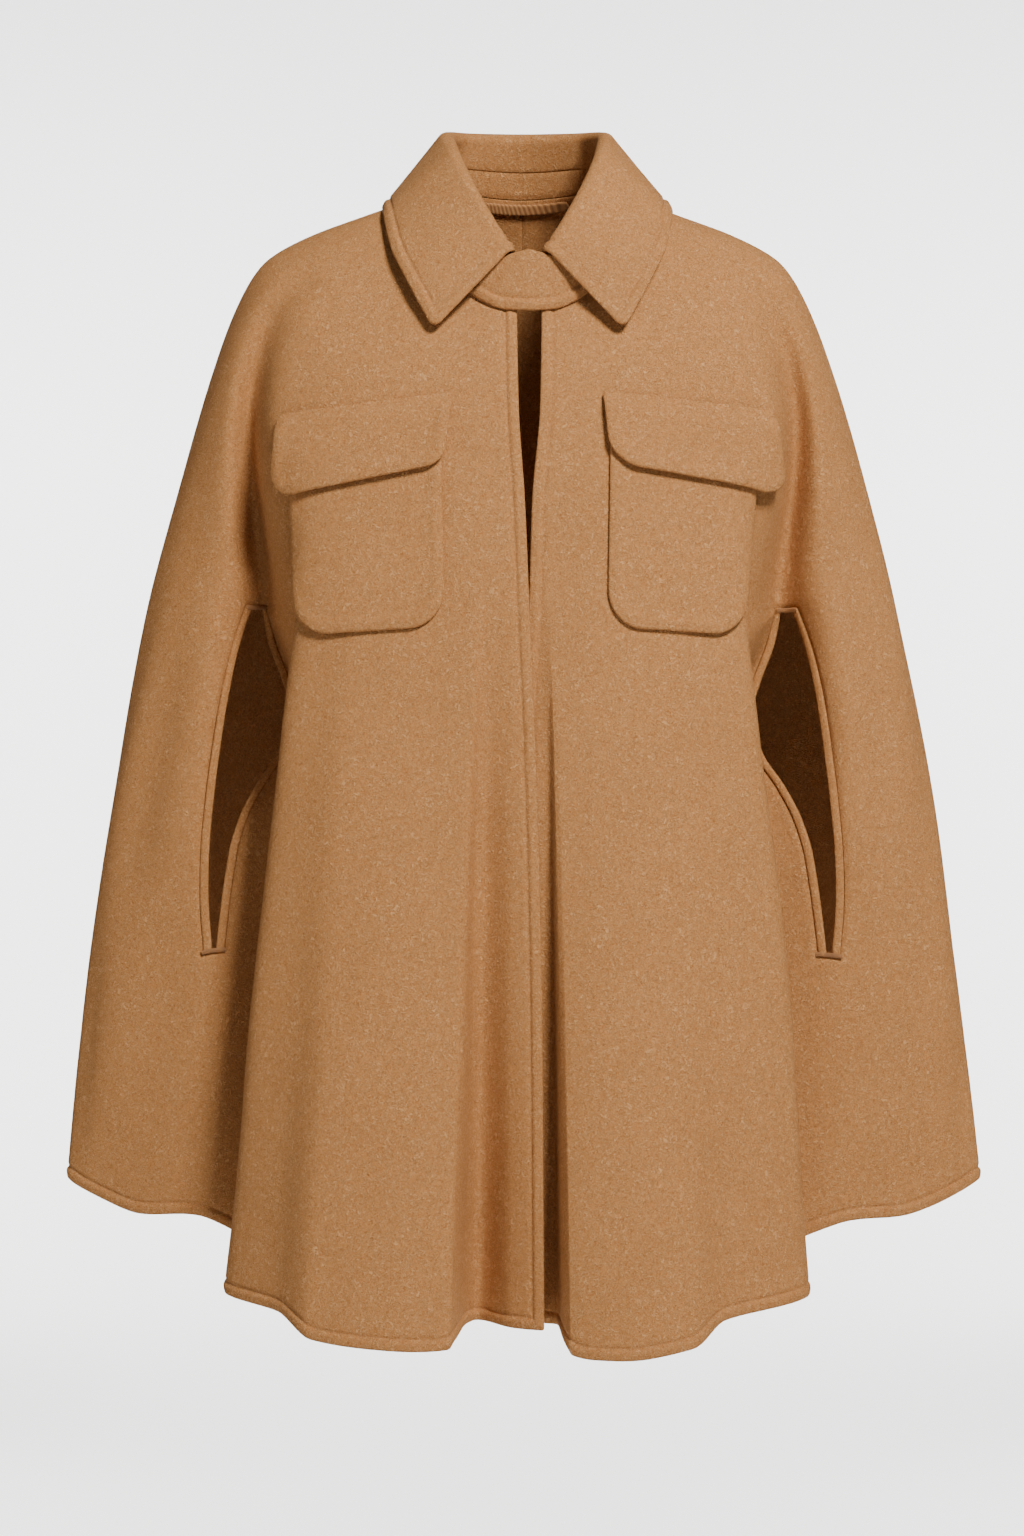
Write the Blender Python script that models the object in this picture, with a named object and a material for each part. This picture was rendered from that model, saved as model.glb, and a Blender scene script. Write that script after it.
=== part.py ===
"""A hip-length wool cape in its worn, hollow form: shirt collar, throat tab, arm slits and two flap pockets.

X runs to the viewer's right, Y away from the viewer and Z up. The origin is the centre of the neck at
shoulder height. "Right" and "left" are the wearer's, so the right front lies at -X and laps over the left.
"""
import math

import bmesh
import bpy
from mathutils import Vector

CLOTH = 0.0030           # one layer of the coating, through the wall
SEAM_GAP = 0.0003        # between two pieces that are sewn together
LAP_GAP = 0.0009         # under a piece that lies on another one
SLIT_TOP = 0.43          # level of the slit's upper end, from 0 at the neck seam to 1 at the hem
SLIT_FOOT = 0.76         # level of its lower end
SLIT_ANGLES = (55.3, 57.2)   # where its top and its foot lie, from 0 at centre front to 180 at centre back
SLIT_HALF = (1.80, 1.60)     # half its width there in degrees, the room for two welts
WELT_WIDTH = 0.0070      # each of the two welts that bind a slit
WELT_THICK = 0.0046
WELT_SIDES = 8
WELT_ROUNDNESS = 0.6     # 1 for an elliptic welt, less for a squarer one
SLIT_TILT = 0.0032       # levels per degree by which the grid is turned so that the slit's ends lie level
TILT_START = 0.15        # level where that turn begins
TILT_REACH = 12.0        # how far it reaches to either side, in degrees
FOLD_START = 0.25        # level where the folds begin

SIDES = {"right": -1.0, "left": 1.0}

# Plain sections from the neck seam to the hem. Each gives the widest point at the side and the
# two points at centre front and centre back, how far the ridge of the shoulder leans back, and the
# front's roundness, which is 1 for an ellipse and less for a flatter chest.
SECTION_COLUMNS = ("level", "side_x", "side_y", "side_z", "front_y", "front_z", "back_y", "back_z",
                   "lean", "roundness")
SECTIONS = (
    (0.000, 0.0750, -0.012, 0.0360, -0.0920, -0.0550, 0.0750, 0.0440, 0.20, 0.85),
    (0.065, 0.1300, -0.014, 0.0170, -0.1100, -0.1080, 0.1020, -0.0020, 0.20, 0.80),
    (0.120, 0.1766, -0.012, 0.0000, -0.1220, -0.1530, 0.1190, -0.0530, 0.20, 0.80),
    (0.160, 0.2085, -0.008, -0.0180, -0.1280, -0.1860, 0.1280, -0.0930, 0.15, 0.80),
    (0.200, 0.2290, -0.002, -0.0480, -0.1330, -0.2180, 0.1340, -0.1340, 0.10, 0.80),
    (0.280, 0.2540, 0.006, -0.1130, -0.1400, -0.2830, 0.1420, -0.2080, 0.00, 0.82),
    (0.390, 0.2820, 0.010, -0.2110, -0.1470, -0.3730, 0.1500, -0.3020, 0.00, 0.88),
    (0.500, 0.3070, 0.012, -0.3085, -0.1530, -0.4620, 0.1560, -0.3970, 0.00, 0.94),
    (0.720, 0.3435, 0.016, -0.5040, -0.1620, -0.6400, 0.1660, -0.5900, 0.00, 1.00),
    (1.000, 0.3735, 0.020, -0.7620, -0.1700, -0.8620, 0.1750, -0.8350, 0.00, 1.00),
)

# Folds, by the angle around the body. The first three values move the hem out, back and up from the
# plain section. The last two say how much of that is reached level with the slit's top and foot.
FOLD_COLUMNS = ("angle", "out", "back", "up", "at_top", "at_foot")
BACK_FOLDS = (
    (90.0, 0.000, 0.000, 0.000, 0.10, 0.40),      # side seam
    (102.0, -0.004, 0.010, -0.004, 0.10, 0.40),
    (119.0, -0.036, -0.020, 0.004, 0.25, 0.60),   # hollow behind the arm
    (139.0, 0.002, 0.030, 0.000, 0.10, 0.45),     # back lobe
    (159.0, 0.000, -0.016, 0.006, 0.10, 0.45),
    (180.0, 0.000, 0.018, 0.000, 0.10, 0.45),     # centre back
    (201.0, 0.000, -0.016, 0.006, 0.10, 0.45),
)
FOLDS = {
    "right": (
        (-3.5, 0.000, 0.010, -0.001, 0.15, 0.60),     # front edge, which comes forward again
        (1.5, 0.000, 0.026, 0.000, 0.15, 0.60),
        (5.2, 0.001, 0.054, 0.001, 0.15, 0.60),       # recess beside the front edge
        (6.6, 0.001, 0.038, -0.001, 0.15, 0.58),
        (7.7, 0.001, -0.008, -0.007, 0.11, 0.50),
        (8.8, -0.001, -0.026, -0.012, 0.08, 0.45),    # sharp ridge of the front lobe
        (17.0, 0.001, -0.036, -0.018, 0.10, 0.50),    # front lobe
        (26.0, 0.001, -0.034, -0.022, 0.10, 0.50),
        (30.5, 0.001, -0.008, -0.012, 0.15, 0.50),
        (35.0, 0.016, 0.022, -0.012, 0.12, 0.42),     # edge of the front, seen from the front
        (46.5, -0.070, 0.069, -0.007, 0.42, 1.02),    # hollow in front of the slit
        (57.0, -0.059, 0.048, 0.002, 0.43, 0.76),     # slit
        (69.0, -0.032, 0.033, -0.012, 0.30, 0.60),
        (80.0, -0.011, 0.016, -0.006, 0.15, 0.45),
    ) + BACK_FOLDS,
    "left": (
        (-3.5, 0.000, 0.038, 0.003, 0.15, 0.60),
        (3.3, 0.000, 0.038, 0.000, 0.15, 0.60),       # under the right front's edge
        (4.3, -0.001, -0.006, -0.008, 0.12, 0.48),
        (5.5, -0.002, -0.026, -0.014, 0.11, 0.48),
        (9.0, -0.002, -0.034, -0.019, 0.10, 0.50),    # front lobe
        (15.0, -0.002, -0.042, -0.022, 0.10, 0.50),
        (21.0, -0.004, -0.036, -0.022, 0.10, 0.50),
        (26.0, -0.008, -0.012, -0.011, 0.15, 0.50),
        (34.5, 0.011, 0.020, -0.013, 0.15, 0.40),
        (46.5, -0.076, 0.069, -0.009, 0.46, 1.06),
        (57.0, -0.061, 0.048, -0.003, 0.43, 0.76),
        (69.0, -0.034, 0.033, -0.014, 0.30, 0.60),
        (80.0, -0.012, 0.016, -0.008, 0.15, 0.45),
    ) + BACK_FOLDS,
}

# How far each edge of the open slit is drawn out and back, and how many degrees that pulls on. How open
# it is goes by the part of the way down: the front edge swings wide above and falls back into the fold.
SLIT_EDGES = {
    "front": {"out": -0.048, "back": 0.018, "reach": 8.0},
    "back": {"out": 0.012, "back": -0.003, "reach": 9.0},
}
OPENING_COLUMNS = ("along", "front", "back")
SLIT_OPENING = (
    (0.00, 0.00, 0.00),
    (0.10, 0.25, 0.48),
    (0.20, 0.55, 0.77),
    (0.30, 0.75, 0.94),
    (0.40, 0.66, 1.00),
    (0.50, 0.36, 1.00),
    (0.60, 0.14, 0.95),
    (0.70, 0.04, 0.86),
    (0.85, 0.01, 0.55),
    (1.00, 0.00, 0.00),
)

# The fold that runs down from the shoulder to each slit: where its bottom lies and how far back.
VALLEY_COLUMNS = ("level", "angle", "back")
VALLEY = (
    (0.12, 66.0, 0.000),
    (0.20, 63.5, 0.014),
    (0.28, 59.5, 0.030),
    (0.36, 56.0, 0.041),
    (0.43, 54.0, 0.042),
    (0.52, 53.5, 0.028),
    (0.64, 53.5, 0.012),
    (0.80, 53.5, 0.003),
    (1.00, 53.5, 0.000),
)
VALLEY_REACH = 4.8       # half its width in degrees

# Where each front edge runs: its distance outward from the centre line, past it where negative.
EDGE_COLUMNS = ("level", "right", "left")
FRONT_EDGES = (
    (0.00, 0.0054, 0.0157),
    (0.11, 0.0038, 0.0141),
    (0.20, -0.0009, 0.0079),
    (0.30, -0.0043, 0.0052),
    (0.50, -0.0108, -0.0030),
    (0.68, -0.0139, -0.0050),
    (1.00, -0.0152, -0.0062),
)
LAP_START = 0.16         # level where the left front begins to dip under the right one
LAP_FULL = 0.27
LAP_REACH = (0.022, 0.060)   # distances from the centre line where the dip is full and where it has gone

# Grid lines of the panels: bands of levels and of angles with the number of cells in each.
LEVEL_BANDS = ((0.0, 0.20, 8), (0.20, SLIT_TOP, 6), (SLIT_TOP, SLIT_FOOT, 10), (SLIT_FOOT, 1.0, 7))
FRONT_BANDS = {          # angles at the hem, from the front edge to the slit
    "right": ((5.2, 3), (8.8, 4), (25.0, 4), (32.0, 3), (None, 8)),
    "left": ((3.2, 2), (5.5, 3), (9.0, 1), (20.0, 4), (28.0, 3), (None, 8)),
}
SIDE_CELLS = 7           # from the slit to the side seam
BACK_CELLS = 12          # from the side seam to centre back
SIDE_SEAM = 90.0         # the angle of the side and shoulder seam
CENTRE_BACK = 180.0

# The collar, by the angle around the neck: its roll line and the edge of its leaf.
COLLAR_COLUMNS = ("angle", "roll_x", "roll_y", "roll_z", "edge_x", "edge_y", "edge_z")
COLLAR = (
    (9.0, 0.0125, -0.0980, -0.0200, 0.0745, -0.1090, -0.0820),
    (26.0, 0.0270, -0.0930, 0.0020, 0.0930, -0.0980, -0.0470),
    (45.0, 0.0440, -0.0740, 0.0340, 0.1085, -0.0760, -0.0130),
    (65.0, 0.0570, -0.0420, 0.0660, 0.1150, -0.0390, 0.0185),
    (90.0, 0.0620, 0.0020, 0.0860, 0.1160, 0.0150, 0.0290),
    (130.0, 0.0500, 0.0470, 0.0940, 0.0900, 0.0800, 0.0200),
    (180.0, 0.0000, 0.0660, 0.0960, 0.0000, 0.1060, 0.0060),
    (230.0, -0.0500, 0.0470, 0.0940, -0.0900, 0.0800, 0.0200),
)
COLLAR_SHIFT = 0.0046    # the collar's ends meet this far to the viewer's right of the centre line
COLLAR_TURN = 3.6        # that shift around the neck seam, in degrees
SHIFT_FADE = (40.0, 160.0)   # the shift fades out between these angles
COLLAR_BACK_GAP = 0.15   # the collar's ends stay this many degrees short of centre back
COLLAR_CELLS = (7, 12)   # behind and in front of the shoulder
ROLL_RADIUS = 0.0060     # of the fold, to the middle of the cloth
STAND_SHARE = 0.50       # part of the way up to the roll line where the leaf is sewn to the stand
STAND_SEAM = 0.012       # the gap of that seam, as a part of the same way
ROLL_CELLS = 4           # around the fold
LEAF_CELLS = 4           # from the fold to the leaf's edge

# Pockets and flaps, by their corners as distances outward from the centre line and heights, and the
# radii of their corners. They are laid on the front, and a flap rises over its pocket.
PATCH_COLUMNS = ("inner_top", "outer_top", "outer_foot", "inner_foot",
                 "top_radius", "inner_radius", "outer_radius")
POCKETS = {
    "right": ((0.0655, -0.162), (0.183, -0.168), (0.174, -0.3245), (0.0620, -0.3175), 0.002, 0.028, 0.026),
    "left": ((0.0700, -0.162), (0.183, -0.168), (0.169, -0.3240), (0.0675, -0.3180), 0.002, 0.028, 0.024),
}
FLAPS = {
    "right": ((0.056, -0.1365), (0.190, -0.1525), (0.1925, -0.2165), (0.063, -0.1915), 0.003, 0.012, 0.022),
    "left": ((0.064, -0.1357), (0.195, -0.1490), (0.1990, -0.2120), (0.0695, -0.1905), 0.003, 0.022, 0.018),
}
PATCH_CELLS = 14         # across a pocket or flap
CORNER_CELLS = 3         # down a rounded corner
MIDDLE_CELLS = 4         # between the corners
PATCH_LIFT_START = 0.4   # part of the way across where a pocket's outer side starts to stand off
FLAP_RISE = 0.014        # below its seam, the flap has risen over the pocket by this far down
PATCH_LIFT = 0.0020      # by which a pocket's outer side stands off the front, as that turns away
FLAP_LIFT = 0.0025       # its lower edge stands off the pocket by this much

# The throat tab, by the distance from the collar's centre: its front and its two edges' heights.
TAB_COLUMNS = ("across", "front_y", "top_z", "foot_z")
TAB = (
    (0.000, -0.0995, -0.0215, -0.0670),
    (0.020, -0.0978, -0.0260, -0.0655),
    (0.038, -0.0950, -0.0270, -0.0580),
    (0.050, -0.0910, -0.0330, -0.0490),
)
TAB_CELLS = (16, 4)
LOOP_SPAN = 0.072        # the hanger loop inside the back of the neck
LOOP_HEIGHT = 0.009
LOOP_THICK = 0.0022
LOOP_LEVEL = 0.004       # of its upper edge
LOOP_CELLS = 10

CLOTH_COLOUR = (0.508, 0.262, 0.123)
CLOTH_ROUGHNESS = 0.95
SHARP_ANGLE = 50.0       # edges that bend more than this are shaded as edges


def ease(low, high, value):
    """Return 0 below low, 1 above high, and a smooth rise between them."""
    part = min(1.0, max(0.0, (value - low) / (high - low)))
    return part * part * (3.0 - 2.0 * part)


def smooth_curve(stations, values):
    """Return a function through the stations that never overshoots the given values."""
    steps = [b - a for a, b in zip(stations, stations[1:])]
    slopes = [(b - a) / step for a, b, step in zip(values, values[1:], steps)]
    bends = [slopes[0]]
    for before, after in zip(slopes, slopes[1:]):
        bends.append(0.0 if before * after <= 0.0 else 2.0 * before * after / (before + after))
    bends.append(slopes[-1])

    def value_at(position):
        position = min(stations[-1], max(stations[0], position))
        place = 0
        while place < len(steps) - 1 and position > stations[place + 1]:
            place += 1
        part = (position - stations[place]) / steps[place]
        rise = part * part * (3.0 - 2.0 * part)
        start_bend = part * (1.0 - part) ** 2 * steps[place] * bends[place]
        end_bend = part * part * (part - 1.0) * steps[place] * bends[place + 1]
        return values[place] * (1.0 - rise) + values[place + 1] * rise + start_bend + end_bend

    return value_at


def table_curves(columns, rows):
    """Return one smooth function of the first column for each other column."""
    stations = [row[0] for row in rows]
    return {name: smooth_curve(stations, [row[place] for row in rows])
            for place, name in enumerate(columns) if place}


SECTION_CURVES = table_curves(SECTION_COLUMNS, SECTIONS)
FOLD_CURVES = {side: table_curves(FOLD_COLUMNS, rows) for side, rows in FOLDS.items()}
EDGE_CURVES = table_curves(EDGE_COLUMNS, FRONT_EDGES)
COLLAR_CURVES = table_curves(COLLAR_COLUMNS, COLLAR)
OPENING_CURVES = table_curves(OPENING_COLUMNS, SLIT_OPENING)
VALLEY_CURVES = table_curves(VALLEY_COLUMNS, VALLEY)


def fold_share(curves, angle, level):
    """Return how much of the hem's fold is reached at a level."""
    at_top = curves["at_top"](angle)
    at_foot = curves["at_foot"](angle)
    return smooth_curve((0.0, FOLD_START, SLIT_TOP, SLIT_FOOT, 1.0), (0.0, 0.0, at_top, at_foot, 1.0))(level)


def slit_angle(edge, level):
    """Return the angle of the slit's front edge (-1) or back edge (1) at a level."""
    along = min(1.0, max(0.0, (level - SLIT_TOP) / (SLIT_FOOT - SLIT_TOP)))
    middle = SLIT_ANGLES[0] + (SLIT_ANGLES[1] - SLIT_ANGLES[0]) * along
    return middle + edge * (SLIT_HALF[0] + (SLIT_HALF[1] - SLIT_HALF[0]) * along)


def turned_level(angle, level):
    """Return a grid line's level at an angle, turned near the slit so that the slit's ends lie level."""
    share = ease(TILT_START, SLIT_TOP, level) * (1.0 - ease(SLIT_FOOT, 1.0, level))
    aside = angle - slit_angle(0, level)
    return level + SLIT_TILT * aside * share * math.exp(-(aside / TILT_REACH) ** 2)


def slit_shift(angle, level):
    """Return how far the slit's opening draws the cloth out and back."""
    if not SLIT_TOP < level < SLIT_FOOT:
        return 0.0, 0.0
    along = (level - SLIT_TOP) / (SLIT_FOOT - SLIT_TOP)
    edge_name, edge = ("front", -1) if angle < slit_angle(0, level) else ("back", 1)
    pull = SLIT_EDGES[edge_name]
    aside = angle - slit_angle(edge, level)
    fade = OPENING_CURVES[edge_name](along) * math.exp(-(aside / pull["reach"]) ** 2)
    return pull["out"] * fade, pull["back"] * fade


def body_point(side, angle, level):
    """Return a point of the cloth's outer face, at an angle from centre front and a level below the neck."""
    section = {name: curve(level) for name, curve in SECTION_CURVES.items()}
    turn = math.radians(angle)
    cosine, sine = math.cos(turn), math.sin(turn)
    face = "front" if cosine > 0.0 else "back"
    x = section["side_x"] * sine
    deep = abs(cosine) ** section["roundness"] if face == "front" else abs(cosine)
    y = section["side_y"] + (section[face + "_y"] - section["side_y"]) * deep
    z = section["side_z"] + (section[face + "_z"] - section["side_z"]) * cosine * cosine
    z += section["lean"] * (y - section["side_y"]) * sine * sine
    curves = FOLD_CURVES[side]
    share = fold_share(curves, angle, level)
    slit_out, slit_back = slit_shift(angle, level)
    x += curves["out"](angle) * share + slit_out
    y += curves["back"](angle) * share + slit_back
    aside = (angle - VALLEY_CURVES["angle"](level)) / VALLEY_REACH
    y += VALLEY_CURVES["back"](level) * math.exp(-aside ** 2)
    z += curves["up"](angle) * share
    return Vector((SIDES[side] * x, y, z))


def body_normal(side, angle, level):
    """Return the direction out of the cloth at a point."""
    step_angle, step_level = 0.4, 0.004
    low = max(0.0, level - step_level)
    high = min(1.0, level + step_level)
    first, last = angle - step_angle, angle + step_angle
    around = body_point(side, last, level) - body_point(side, first, level)
    down = body_point(side, angle, high) - body_point(side, angle, low)
    normal = around.cross(down).normalized()
    return -normal if side == "left" else normal


def lap_dip(side, angle, level):
    """Return how far the left front dips to pass under the right front."""
    if side == "right":
        return 0.0
    across = abs(body_point(side, angle, level).x)
    return (CLOTH + LAP_GAP) * ease(LAP_START, LAP_FULL, level) * (1.0 - ease(*LAP_REACH, across))


def cloth_at(side, angle, level, height=0.0):
    """Return the point that lies a height above the cloth's outer face, and the direction out."""
    normal = body_normal(side, angle, level)
    return body_point(side, angle, level) + normal * (height - lap_dip(side, angle, level)), normal


def banded(bands):
    """Return the values that divide each band into its cells."""
    values = [bands[0][0]]
    for low, high, cells in bands:
        values += [low + (high - low) * (index + 1) / cells for index in range(cells)]
    return values


def draw_back(points, amount):
    """Return a row of points whose two ends are drawn in along the row."""
    points = list(points)
    points[0] = points[0] + (points[1] - points[0]).normalized() * amount
    points[-1] = points[-1] + (points[-2] - points[-1]).normalized() * amount
    return points


def new_material(name):
    material = bpy.data.materials.new(name)
    material.use_nodes = True
    shader = material.node_tree.nodes["Principled BSDF"]
    shader.inputs["Base Color"].default_value = (*CLOTH_COLOUR, 1.0)
    shader.inputs["Roughness"].default_value = CLOTH_ROUGHNESS
    shader.inputs["Metallic"].default_value = 0.0
    return material


def wall(name, collection, outer, inner, holes=()):
    """Make one closed wall between two sheets of points, given as rows, without the cells named in holes."""
    rows, columns = len(outer), len(outer[0])
    shell = bmesh.new()
    sheets = []
    for points in (outer, inner):
        sheets.append([[shell.verts.new(point) for point in row] for row in points])
    cells = [(row, column) for row in range(rows - 1) for column in range(columns - 1)
             if (row, column) not in holes]
    edge_uses = {}
    for row, column in cells:
        corners = ((row, column), (row, column + 1), (row + 1, column + 1), (row + 1, column))
        shell.faces.new([sheets[0][r][c] for r, c in corners])
        shell.faces.new([sheets[1][r][c] for r, c in reversed(corners)])
        for start, end in zip(corners, corners[1:] + corners[:1]):
            edge_uses[(start, end)] = True
    for start, end in edge_uses:
        if (end, start) not in edge_uses:
            rim = [sheets[0][end[0]][end[1]], sheets[0][start[0]][start[1]],
                   sheets[1][start[0]][start[1]], sheets[1][end[0]][end[1]]]
            shell.faces.new(rim)
    loose = [vert for vert in shell.verts if not vert.link_faces]
    bmesh.ops.delete(shell, geom=loose, context="VERTS")
    return finish(name, collection, shell)


def finish(name, collection, body):
    """Turn a closed body into an object with its own material."""
    bmesh.ops.recalc_face_normals(body, faces=body.faces)
    mesh = bpy.data.meshes.new(name)
    body.to_mesh(mesh)
    body.free()
    mesh.shade_smooth()
    mesh.set_sharp_from_angle(angle=math.radians(SHARP_ANGLE))
    mesh.materials.append(new_material(name))
    thing = bpy.data.objects.new(name, mesh)
    collection.objects.link(thing)
    return thing


def sheet_wall(name, collection, grid, thickness=CLOTH, height=0.0, holes=(), ends=SEAM_GAP / 2):
    """Make a wall from rows of points with their outward directions; its outer face lies at the height."""
    outer = [draw_back([point + normal * height for point, normal in row], ends) for row in grid]
    inner = [[point - normal * thickness for point, (_, normal) in zip(outer_row, row)]
             for outer_row, row in zip(outer, grid)]
    return wall(name, collection, outer, inner, holes)


def front_angle(side, level):
    """Return the angle of the front edge at a level."""
    distance = EDGE_CURVES[side](level)
    return math.degrees(math.asin(distance / SECTION_CURVES["side_x"](level)))


def front_bands(side, level):
    """Return a level's bands from the front edge to the slit, in the same shares as at the hem."""
    hem_start, hem_end = front_angle(side, 1.0), slit_angle(-1, 1.0)
    start, end = front_angle(side, level), slit_angle(-1, level)
    bands = []
    first = start
    for hem_last, cells in FRONT_BANDS[side]:
        share = 1.0 if hem_last is None else (hem_last - hem_start) / (hem_end - hem_start)
        last = start + (end - start) * share
        bands.append((first, last, cells))
        first = last
    return bands


def build_fronts(collection, levels):
    """Make each front in one piece from its front edge to the side seam, with the arm slit left open."""
    for side in SIDES:
        grid = []
        for level in levels:
            slit_front, slit_back = slit_angle(-1, level), slit_angle(1, level)
            beyond = [(slit_front, slit_back, 1), (slit_back, SIDE_SEAM, SIDE_CELLS)]
            angles = banded(front_bands(side, level) + beyond)
            grid.append([cloth_at(side, angle, turned_level(angle, level)) for angle in angles])
        slit_column = sum(cells for _, cells in FRONT_BANDS[side])
        holes = {(row, slit_column) for row, (level, following) in enumerate(zip(levels, levels[1:]))
                 if SLIT_TOP < (level + following) / 2 < SLIT_FOOT}
        sheet_wall("front_" + side, collection, grid, holes=holes)


def build_backs(collection, levels):
    """Make the two halves of the back, which meet at the centre seam."""
    for side in SIDES:
        angles = banded(((SIDE_SEAM, CENTRE_BACK, BACK_CELLS),))
        grid = [[cloth_at(side, angle, level) for angle in angles] for level in levels]
        sheet_wall("back_" + side, collection, grid)


def welt_ring(side, edge, level):
    """Return the points around a welt at a level, beside the slit's front edge (-1) or back edge (1)."""
    angle = slit_angle(edge, level)
    step = edge * 0.5
    seam, normal = cloth_at(side, angle, turned_level(angle, level))
    inside, _ = cloth_at(side, angle + step, turned_level(angle + step, level))
    opposite_angle = slit_angle(-edge, level)
    opposite, _ = cloth_at(side, opposite_angle, turned_level(opposite_angle, level))
    opened = math.sin(math.pi * (level - SLIT_TOP) / (SLIT_FOOT - SLIT_TOP))
    across = (opposite - seam).normalized().lerp((seam - inside).normalized(), opened)
    across = (across - normal * across.dot(normal)).normalized()
    centre = seam + across * (3 * SEAM_GAP + WELT_WIDTH / 2) - normal * CLOTH / 2
    half_turn = math.pi / WELT_SIDES
    full = math.cos(half_turn) ** WELT_ROUNDNESS
    ring = []
    for place in range(WELT_SIDES):
        turn = half_turn * (2 * place + 1)
        wide, thick = (math.copysign(abs(part) ** WELT_ROUNDNESS, part) / full / 2
                       for part in (math.cos(turn), math.sin(turn)))
        ring.append(centre + across * wide * WELT_WIDTH + normal * thick * WELT_THICK)
    return ring


def build_welts(collection):
    """Bind each slit with a rounded strip along its front edge and another along its back edge."""
    levels = banded([band for band in LEVEL_BANDS if band[0] == SLIT_TOP])
    for side in SIDES:
        for edge_name, edge in (("front", -1), ("back", 1)):
            rings = [welt_ring(side, edge, level) for level in levels]
            for end, neighbour in ((0, 1), (-1, -2)):
                along = (rings[neighbour][0] - rings[end][0]).normalized() * 4 * SEAM_GAP
                rings[end] = [point + along for point in rings[end]]
            tube("welt_" + edge_name + "_" + side, collection, rings)


def tube(name, collection, rings):
    """Make a closed rod through rings of points."""
    body = bmesh.new()
    loops = [[body.verts.new(point) for point in ring] for ring in rings]
    for first, second in zip(loops, loops[1:]):
        for place in range(len(first)):
            following = (place + 1) % len(first)
            body.faces.new((first[place], first[following], second[following], second[place]))
    body.faces.new(loops[0])
    body.faces.new(loops[-1])
    return finish(name, collection, body)


def surface_place(side, across, height):
    """Return the angle and level of the point of the cloth that lies at a distance outward and a height."""
    angle, level = 30.0, 0.2
    angle_step, level_step = 1.0, 0.01
    longest_turn, longest_fall = 8.0, 0.08
    for _ in range(30):
        here = body_point(side, angle, level)
        by_angle = (body_point(side, angle + angle_step, level) - here) / angle_step
        by_level = (body_point(side, angle, level + level_step) - here) / level_step
        miss_x = across - here.x * SIDES[side]
        miss_z = height - here.z
        out_angle, out_level = by_angle.x * SIDES[side], by_level.x * SIDES[side]
        size = out_angle * by_level.z - out_level * by_angle.z
        turn = (miss_x * by_level.z - miss_z * out_level) / size
        fall = (out_angle * miss_z - by_angle.z * miss_x) / size
        angle += max(-longest_turn, min(longest_turn, turn))
        level += max(-longest_fall, min(longest_fall, fall))
    return angle, level


def patch_rows(patch):
    """Return the rows of a rounded patch, top to bottom, as pairs of shares across and down."""
    width = math.dist(patch["inner_top"], patch["outer_top"])
    height = math.dist(patch["outer_top"], patch["outer_foot"])
    top_radius = patch["top_radius"]
    foot_radii = (patch["inner_radius"], patch["outer_radius"])
    turns = [math.radians(90.0 * step / CORNER_CELLS) for step in range(CORNER_CELLS + 1)]
    drops = [top_radius * (1.0 - math.cos(turn)) for turn in turns]
    foot_drops = [height - max(foot_radii) * (1.0 - math.cos(turn)) for turn in reversed(turns)]
    middle = banded(((drops[-1], foot_drops[0], MIDDLE_CELLS),))[1:-1]
    rows = []
    for drop in drops + middle + foot_drops:
        ends = []
        for radius in foot_radii:
            inset = 0.0
            for corner, reach in ((top_radius, drop), (radius, height - drop)):
                if reach < corner:
                    inset = corner - math.sqrt(corner * corner - (corner - reach) ** 2)
            ends.append(inset / width)
        rows.append([(ends[0] + (1.0 - ends[0] - ends[1]) * step / PATCH_CELLS, drop / height)
                     for step in range(PATCH_CELLS + 1)])
    return rows


def laid_patch(front, side, corners, height_at):
    """Return a patch's rows as points on a front with their outward directions, raised by a height."""
    patch = {name: Vector(value) if "radius" not in name else value
             for name, value in zip(PATCH_COLUMNS, corners)}
    grid = []
    for row in patch_rows(patch):
        line = []
        for across, down in row:
            top = patch["inner_top"].lerp(patch["outer_top"], across)
            foot = patch["inner_foot"].lerp(patch["outer_foot"], across)
            out, height = top.lerp(foot, down)
            fall = (top - foot).length * down
            normal = body_normal(side, *surface_place(side, out, height))
            before = Vector((SIDES[side] * out, -1.0, height))
            _, point, _, _ = front.ray_cast(before, Vector((0.0, 1.0, 0.0)))
            line.append((point + normal * height_at(across, fall, down), normal))
        grid.append(line)
    return grid


def pocket_height(across, _fall, _down):
    """Return the height of a pocket's outer face over the front."""
    return LAP_GAP + CLOTH + PATCH_LIFT * ease(PATCH_LIFT_START, 1.0, across)


def flap_height(across, fall, down):
    """Return the height of a flap's outer face over the front, beside its seam and then over the pocket."""
    rise = (CLOTH + LAP_GAP) * ease(0.0, FLAP_RISE, fall)
    return pocket_height(across, fall, down) + rise + FLAP_LIFT * down * down


def build_pockets(collection):
    """Lay a pocket and its flap on each front."""
    bpy.context.view_layer.update()
    for side in SIDES:
        front = collection.objects["front_" + side]
        for name, patches, height_at in (("pocket_", POCKETS, pocket_height), ("flap_", FLAPS, flap_height)):
            sheet_wall(name + side, collection, laid_patch(front, side, patches[side], height_at), ends=0.0)


def collar_point(angle, which):
    """Return the roll line's or leaf edge's point at a signed angle, or the neck seam's."""
    side = math.copysign(1.0, angle)
    near_front = 1.0 - ease(*SHIFT_FADE, abs(angle))
    if which == "base":
        name = "left" if side > 0 else "right"
        point = body_point(name, abs(angle) + side * COLLAR_TURN * near_front, 0.0)
        point.z += 2 * SEAM_GAP
        return point
    point = Vector([COLLAR_CURVES[which + axis](abs(angle)) for axis in ("_x", "_y", "_z")])
    point.x = side * point.x + COLLAR_SHIFT * near_front
    return point


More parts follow.
